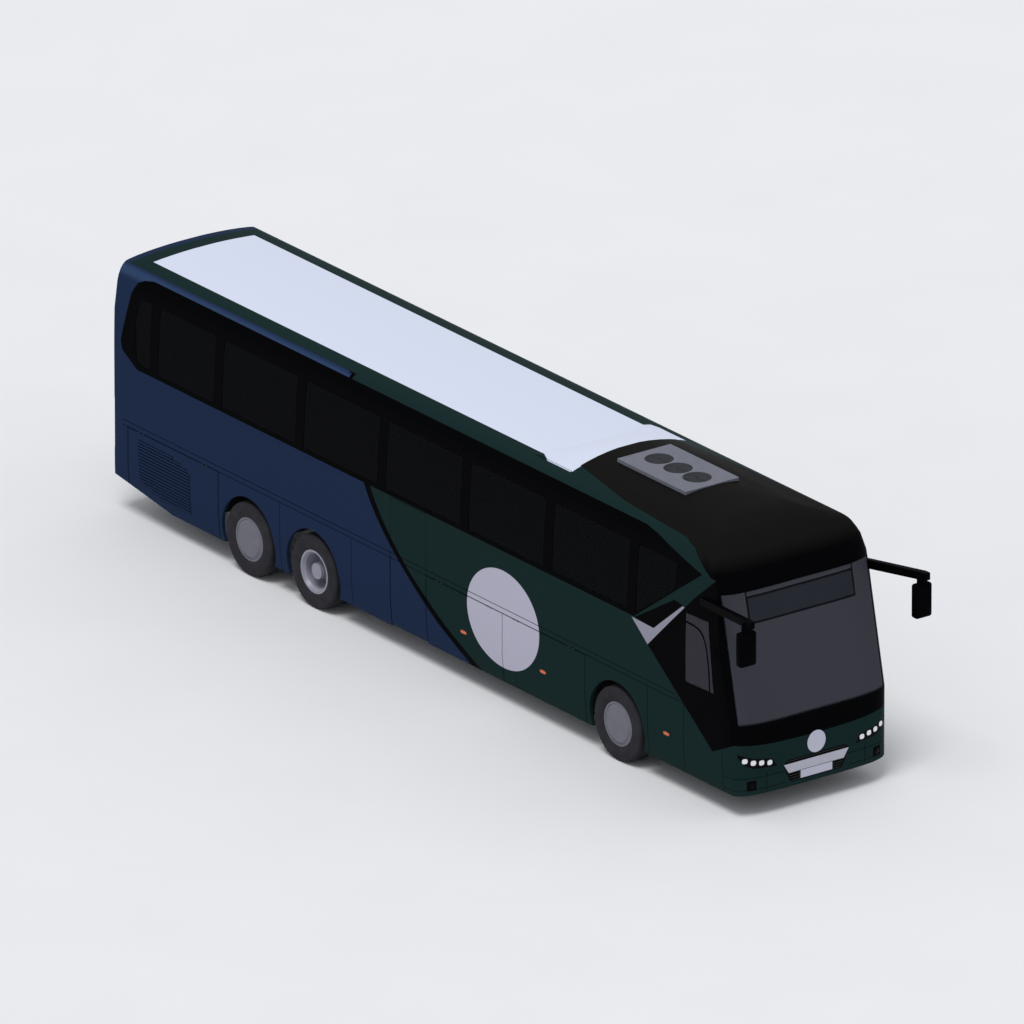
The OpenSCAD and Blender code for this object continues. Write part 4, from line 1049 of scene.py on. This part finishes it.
def loose_parts(node):
    """The separate closed forms of a CAD node, as lists of points."""
    me = nodes[node].data
    keys = {}
    ids = [keys.setdefault(tuple(round(c, 5) for c in v.co), len(keys)) for v in me.vertices]
    points = {i: Vector(k) for k, i in keys.items()}
    root = list(range(len(keys)))

    def find(a):
        while root[a] != a:
            root[a] = root[root[a]]
            a = root[a]
        return a
    for f in me.polygons:
        first = find(ids[f.vertices[0]])
        for v in f.vertices[1:]:
            root[find(ids[v])] = first
    groups = {}
    for i in points:
        groups.setdefault(find(i), []).append(points[i])
    return list(groups.values())


def pad_form(n=8):
    """A crowned cushion in a cube of -1 to 1: sides pulled in between corners, two sewn channels on top."""
    rounding = Vector((0.16, 0.16, 0.55))
    pull_in, channel_depth, channel_w = 0.045, 0.14, 0.09
    index, verts, faces = {}, [], []

    def corner(i, j, k):
        key = (i, j, k)
        if key not in index:
            p = Vector([2 * c / n - 1 for c in key])
            core = Vector([max(-1 + e, min(1 - e, c)) for c, e in zip(p, rounding)])
            d = Vector([(a - b) / e for a, b, e in zip(p, core, rounding)])
            if d.length > 1e-9:
                d = d / max(d.length, max(abs(c) for c in d))
            q = Vector([b + c * e for b, c, e in zip(core, d, rounding)])
            crown = (1 - q.x * q.x) * (1 - q.y * q.y)
            q.x *= 1 - pull_in * (1 - q.y * q.y)
            q.y *= 1 - pull_in * (1 - q.x * q.x)
            q.z = q.z * (0.80 + 0.20 * crown) if q.z > 0 else q.z * 0.96
            if q.z > 0:
                for at in (-0.5, 0.5):
                    q.z -= channel_depth * math.exp(-((q.x - at) / channel_w) ** 2) * (1 - q.y ** 4)
            index[key] = len(verts)
            verts.append(q)
        return index[key]
    for axis in range(3):
        for level in (0, n):
            for a in range(n):
                for b in range(n):
                    quad = []
                    for da, db in ((0, 0), (1, 0), (1, 1), (0, 1)):
                        c = [0, 0, 0]
                        c[axis], c[(axis + 1) % 3], c[(axis + 2) % 3] = level, a + da, b + db
                        quad.append(corner(*c))
                    faces.append(quad)
    return verts, faces


def fit_pads(node, thin):
    """A padded form inside each block of a CAD node, with its thickness upwards or along its back."""
    form, faces = pad_form()
    p = Parts()
    for pts in loose_parts(node):
        c = sum(pts, Vector()) / len(pts)
        lo = Vector([min(q[i] for q in pts) for i in range(3)])
        hi = Vector([max(q[i] for q in pts) for i in range(3)])
        if thin == "up":
            m4 = axes((lo + hi) / 2, (1, 0, 0), (0, 1, 0), (0, 0, 1))
            half = (hi - lo) / 2
        else:
            top = max(pts, key=lambda q: q.z + 0.2 * q.y)
            upper = [q for q in pts if q.z > (lo.z + hi.z) / 2]
            under = [q for q in pts if q.z <= (lo.z + hi.z) / 2]
            up = (sum(upper, Vector()) / len(upper) - sum(under, Vector()) / len(under))
            up.x = 0
            up.normalize()
            nrm = Vector((1, 0, 0)).cross(up)
            if nrm.y > 0:
                nrm = -nrm
            m4 = axes(c, up.cross(nrm), up, nrm)
            half = Vector([max(abs((q - c).dot(m4.col[i].to_3d())) for q in pts) for i in range(3)])
        p.add([m4 @ Vector((v.x * half.x, v.y * half.y, v.z * half.z)) for v in form], faces)
    return p


def driver_pads():
    """The cushion and the back of the driver's seat, inside its CAD block."""
    lo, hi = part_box("driver_seat")
    form, faces = pad_form()
    p = Parts()
    for a, b, lying in ((lo, Vector((hi.x, hi.y - 0.10, lo.z + 0.115)), True),
                        (Vector((lo.x, hi.y - 0.13, lo.z + 0.05)), hi, False)):
        half = (b - a) / 2
        level = (Vector((1, 0, 0)), Vector((0, 1, 0)), Vector((0, 0, 1)))
        upright = (Vector((-1, 0, 0)), Vector((0, 0, 1)), Vector((0, -1, 0)))
        u, v, w = level if lying else upright
        size = [abs(half.dot(d)) for d in (u, v, w)]
        p.add([(a + b) / 2 + u * q.x * size[0] + v * q.y * size[1] + w * q.z * size[2] for q in form], faces)
    return p


for node, pads in (("seat_cushions", fit_pads("seat_cushions", "up")),
                   ("seat_backs", fit_pads("seat_backs", "back")),
                   ("driver_seat", driver_pads())):
    o = pads.piece(f"{node}_padded", seat_cloth, "coach", "seat_fabric", 60)
    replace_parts(o, node)


# ---- floor, light and camera ----

bpy.ops.mesh.primitive_plane_add(size=400, location=(0, 0, 0))
floor = bpy.context.object
floor.name = "floor"
m, sh = start("floor_pale")
finish_of(sh, 0.9, 0.1)
mixed = blend_to(noise(0.5, 3.0), (0.80, 0.80, 0.81), (0.84, 0.84, 0.85))
Num.tree.links.new(mixed, sh.inputs["Base Color"])
floor.data.materials.append(m)
floor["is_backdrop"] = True

world = bpy.data.worlds.new("studio")
bpy.context.scene.world = world
world.use_nodes = True
wt = world.node_tree
back = wt.nodes["Background"]          # what lights the coach; "seen" is what the camera sees
back.inputs["Color"].default_value = (0.93, 0.95, 1.0, 1)
back.inputs["Strength"].default_value = 0.62
seen = wt.nodes.new("ShaderNodeBackground")
seen.inputs["Color"].default_value = (1, 1, 1, 1)
seen.inputs["Strength"].default_value = 0.95
light_path = wt.nodes.new("ShaderNodeLightPath")
mixer = wt.nodes.new("ShaderNodeMixShader")
wt.links.new(light_path.outputs["Is Camera Ray"], mixer.inputs[0])
wt.links.new(back.outputs[0], mixer.inputs[1])
wt.links.new(seen.outputs[0], mixer.inputs[2])
wt.links.new(mixer.outputs[0], wt.nodes["World Output"].inputs["Surface"])


def aim(o, direction):
    """Put an object in the scene with its own Z along a direction, which a lamp or camera looks back from."""
    o.rotation_mode = "QUATERNION"
    o.rotation_quaternion = Vector(direction).to_track_quat("Z", "Y")
    bpy.context.scene.collection.objects.link(o)


sun = bpy.data.lights.new("key", "SUN")
sun.energy, sun.angle = 1.45, math.radians(25)
aim(bpy.data.objects.new("key", sun), (-0.35, -0.15, 1.0))

# The camera stands far off, because the view is nearly parallel
az, el = math.radians(323.3), math.radians(21.6)
towards_camera = Vector((math.sin(az) * math.cos(el), -math.cos(az) * math.cos(el), math.sin(el)))
look_at, distance = Vector((0, S0 + 6.692, 1.959)), 378.2
cam_data = bpy.data.cameras.new("camera")
cam_data.lens, cam_data.sensor_width = 1000, 36
cam_data.clip_start, cam_data.clip_end = 1, 1500
cam = bpy.data.objects.new("camera", cam_data)
cam.location = look_at + towards_camera * distance
aim(cam, towards_camera)
bpy.context.scene.camera = cam
bpy.context.scene.view_settings.view_transform = "Standard"

lo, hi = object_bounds()
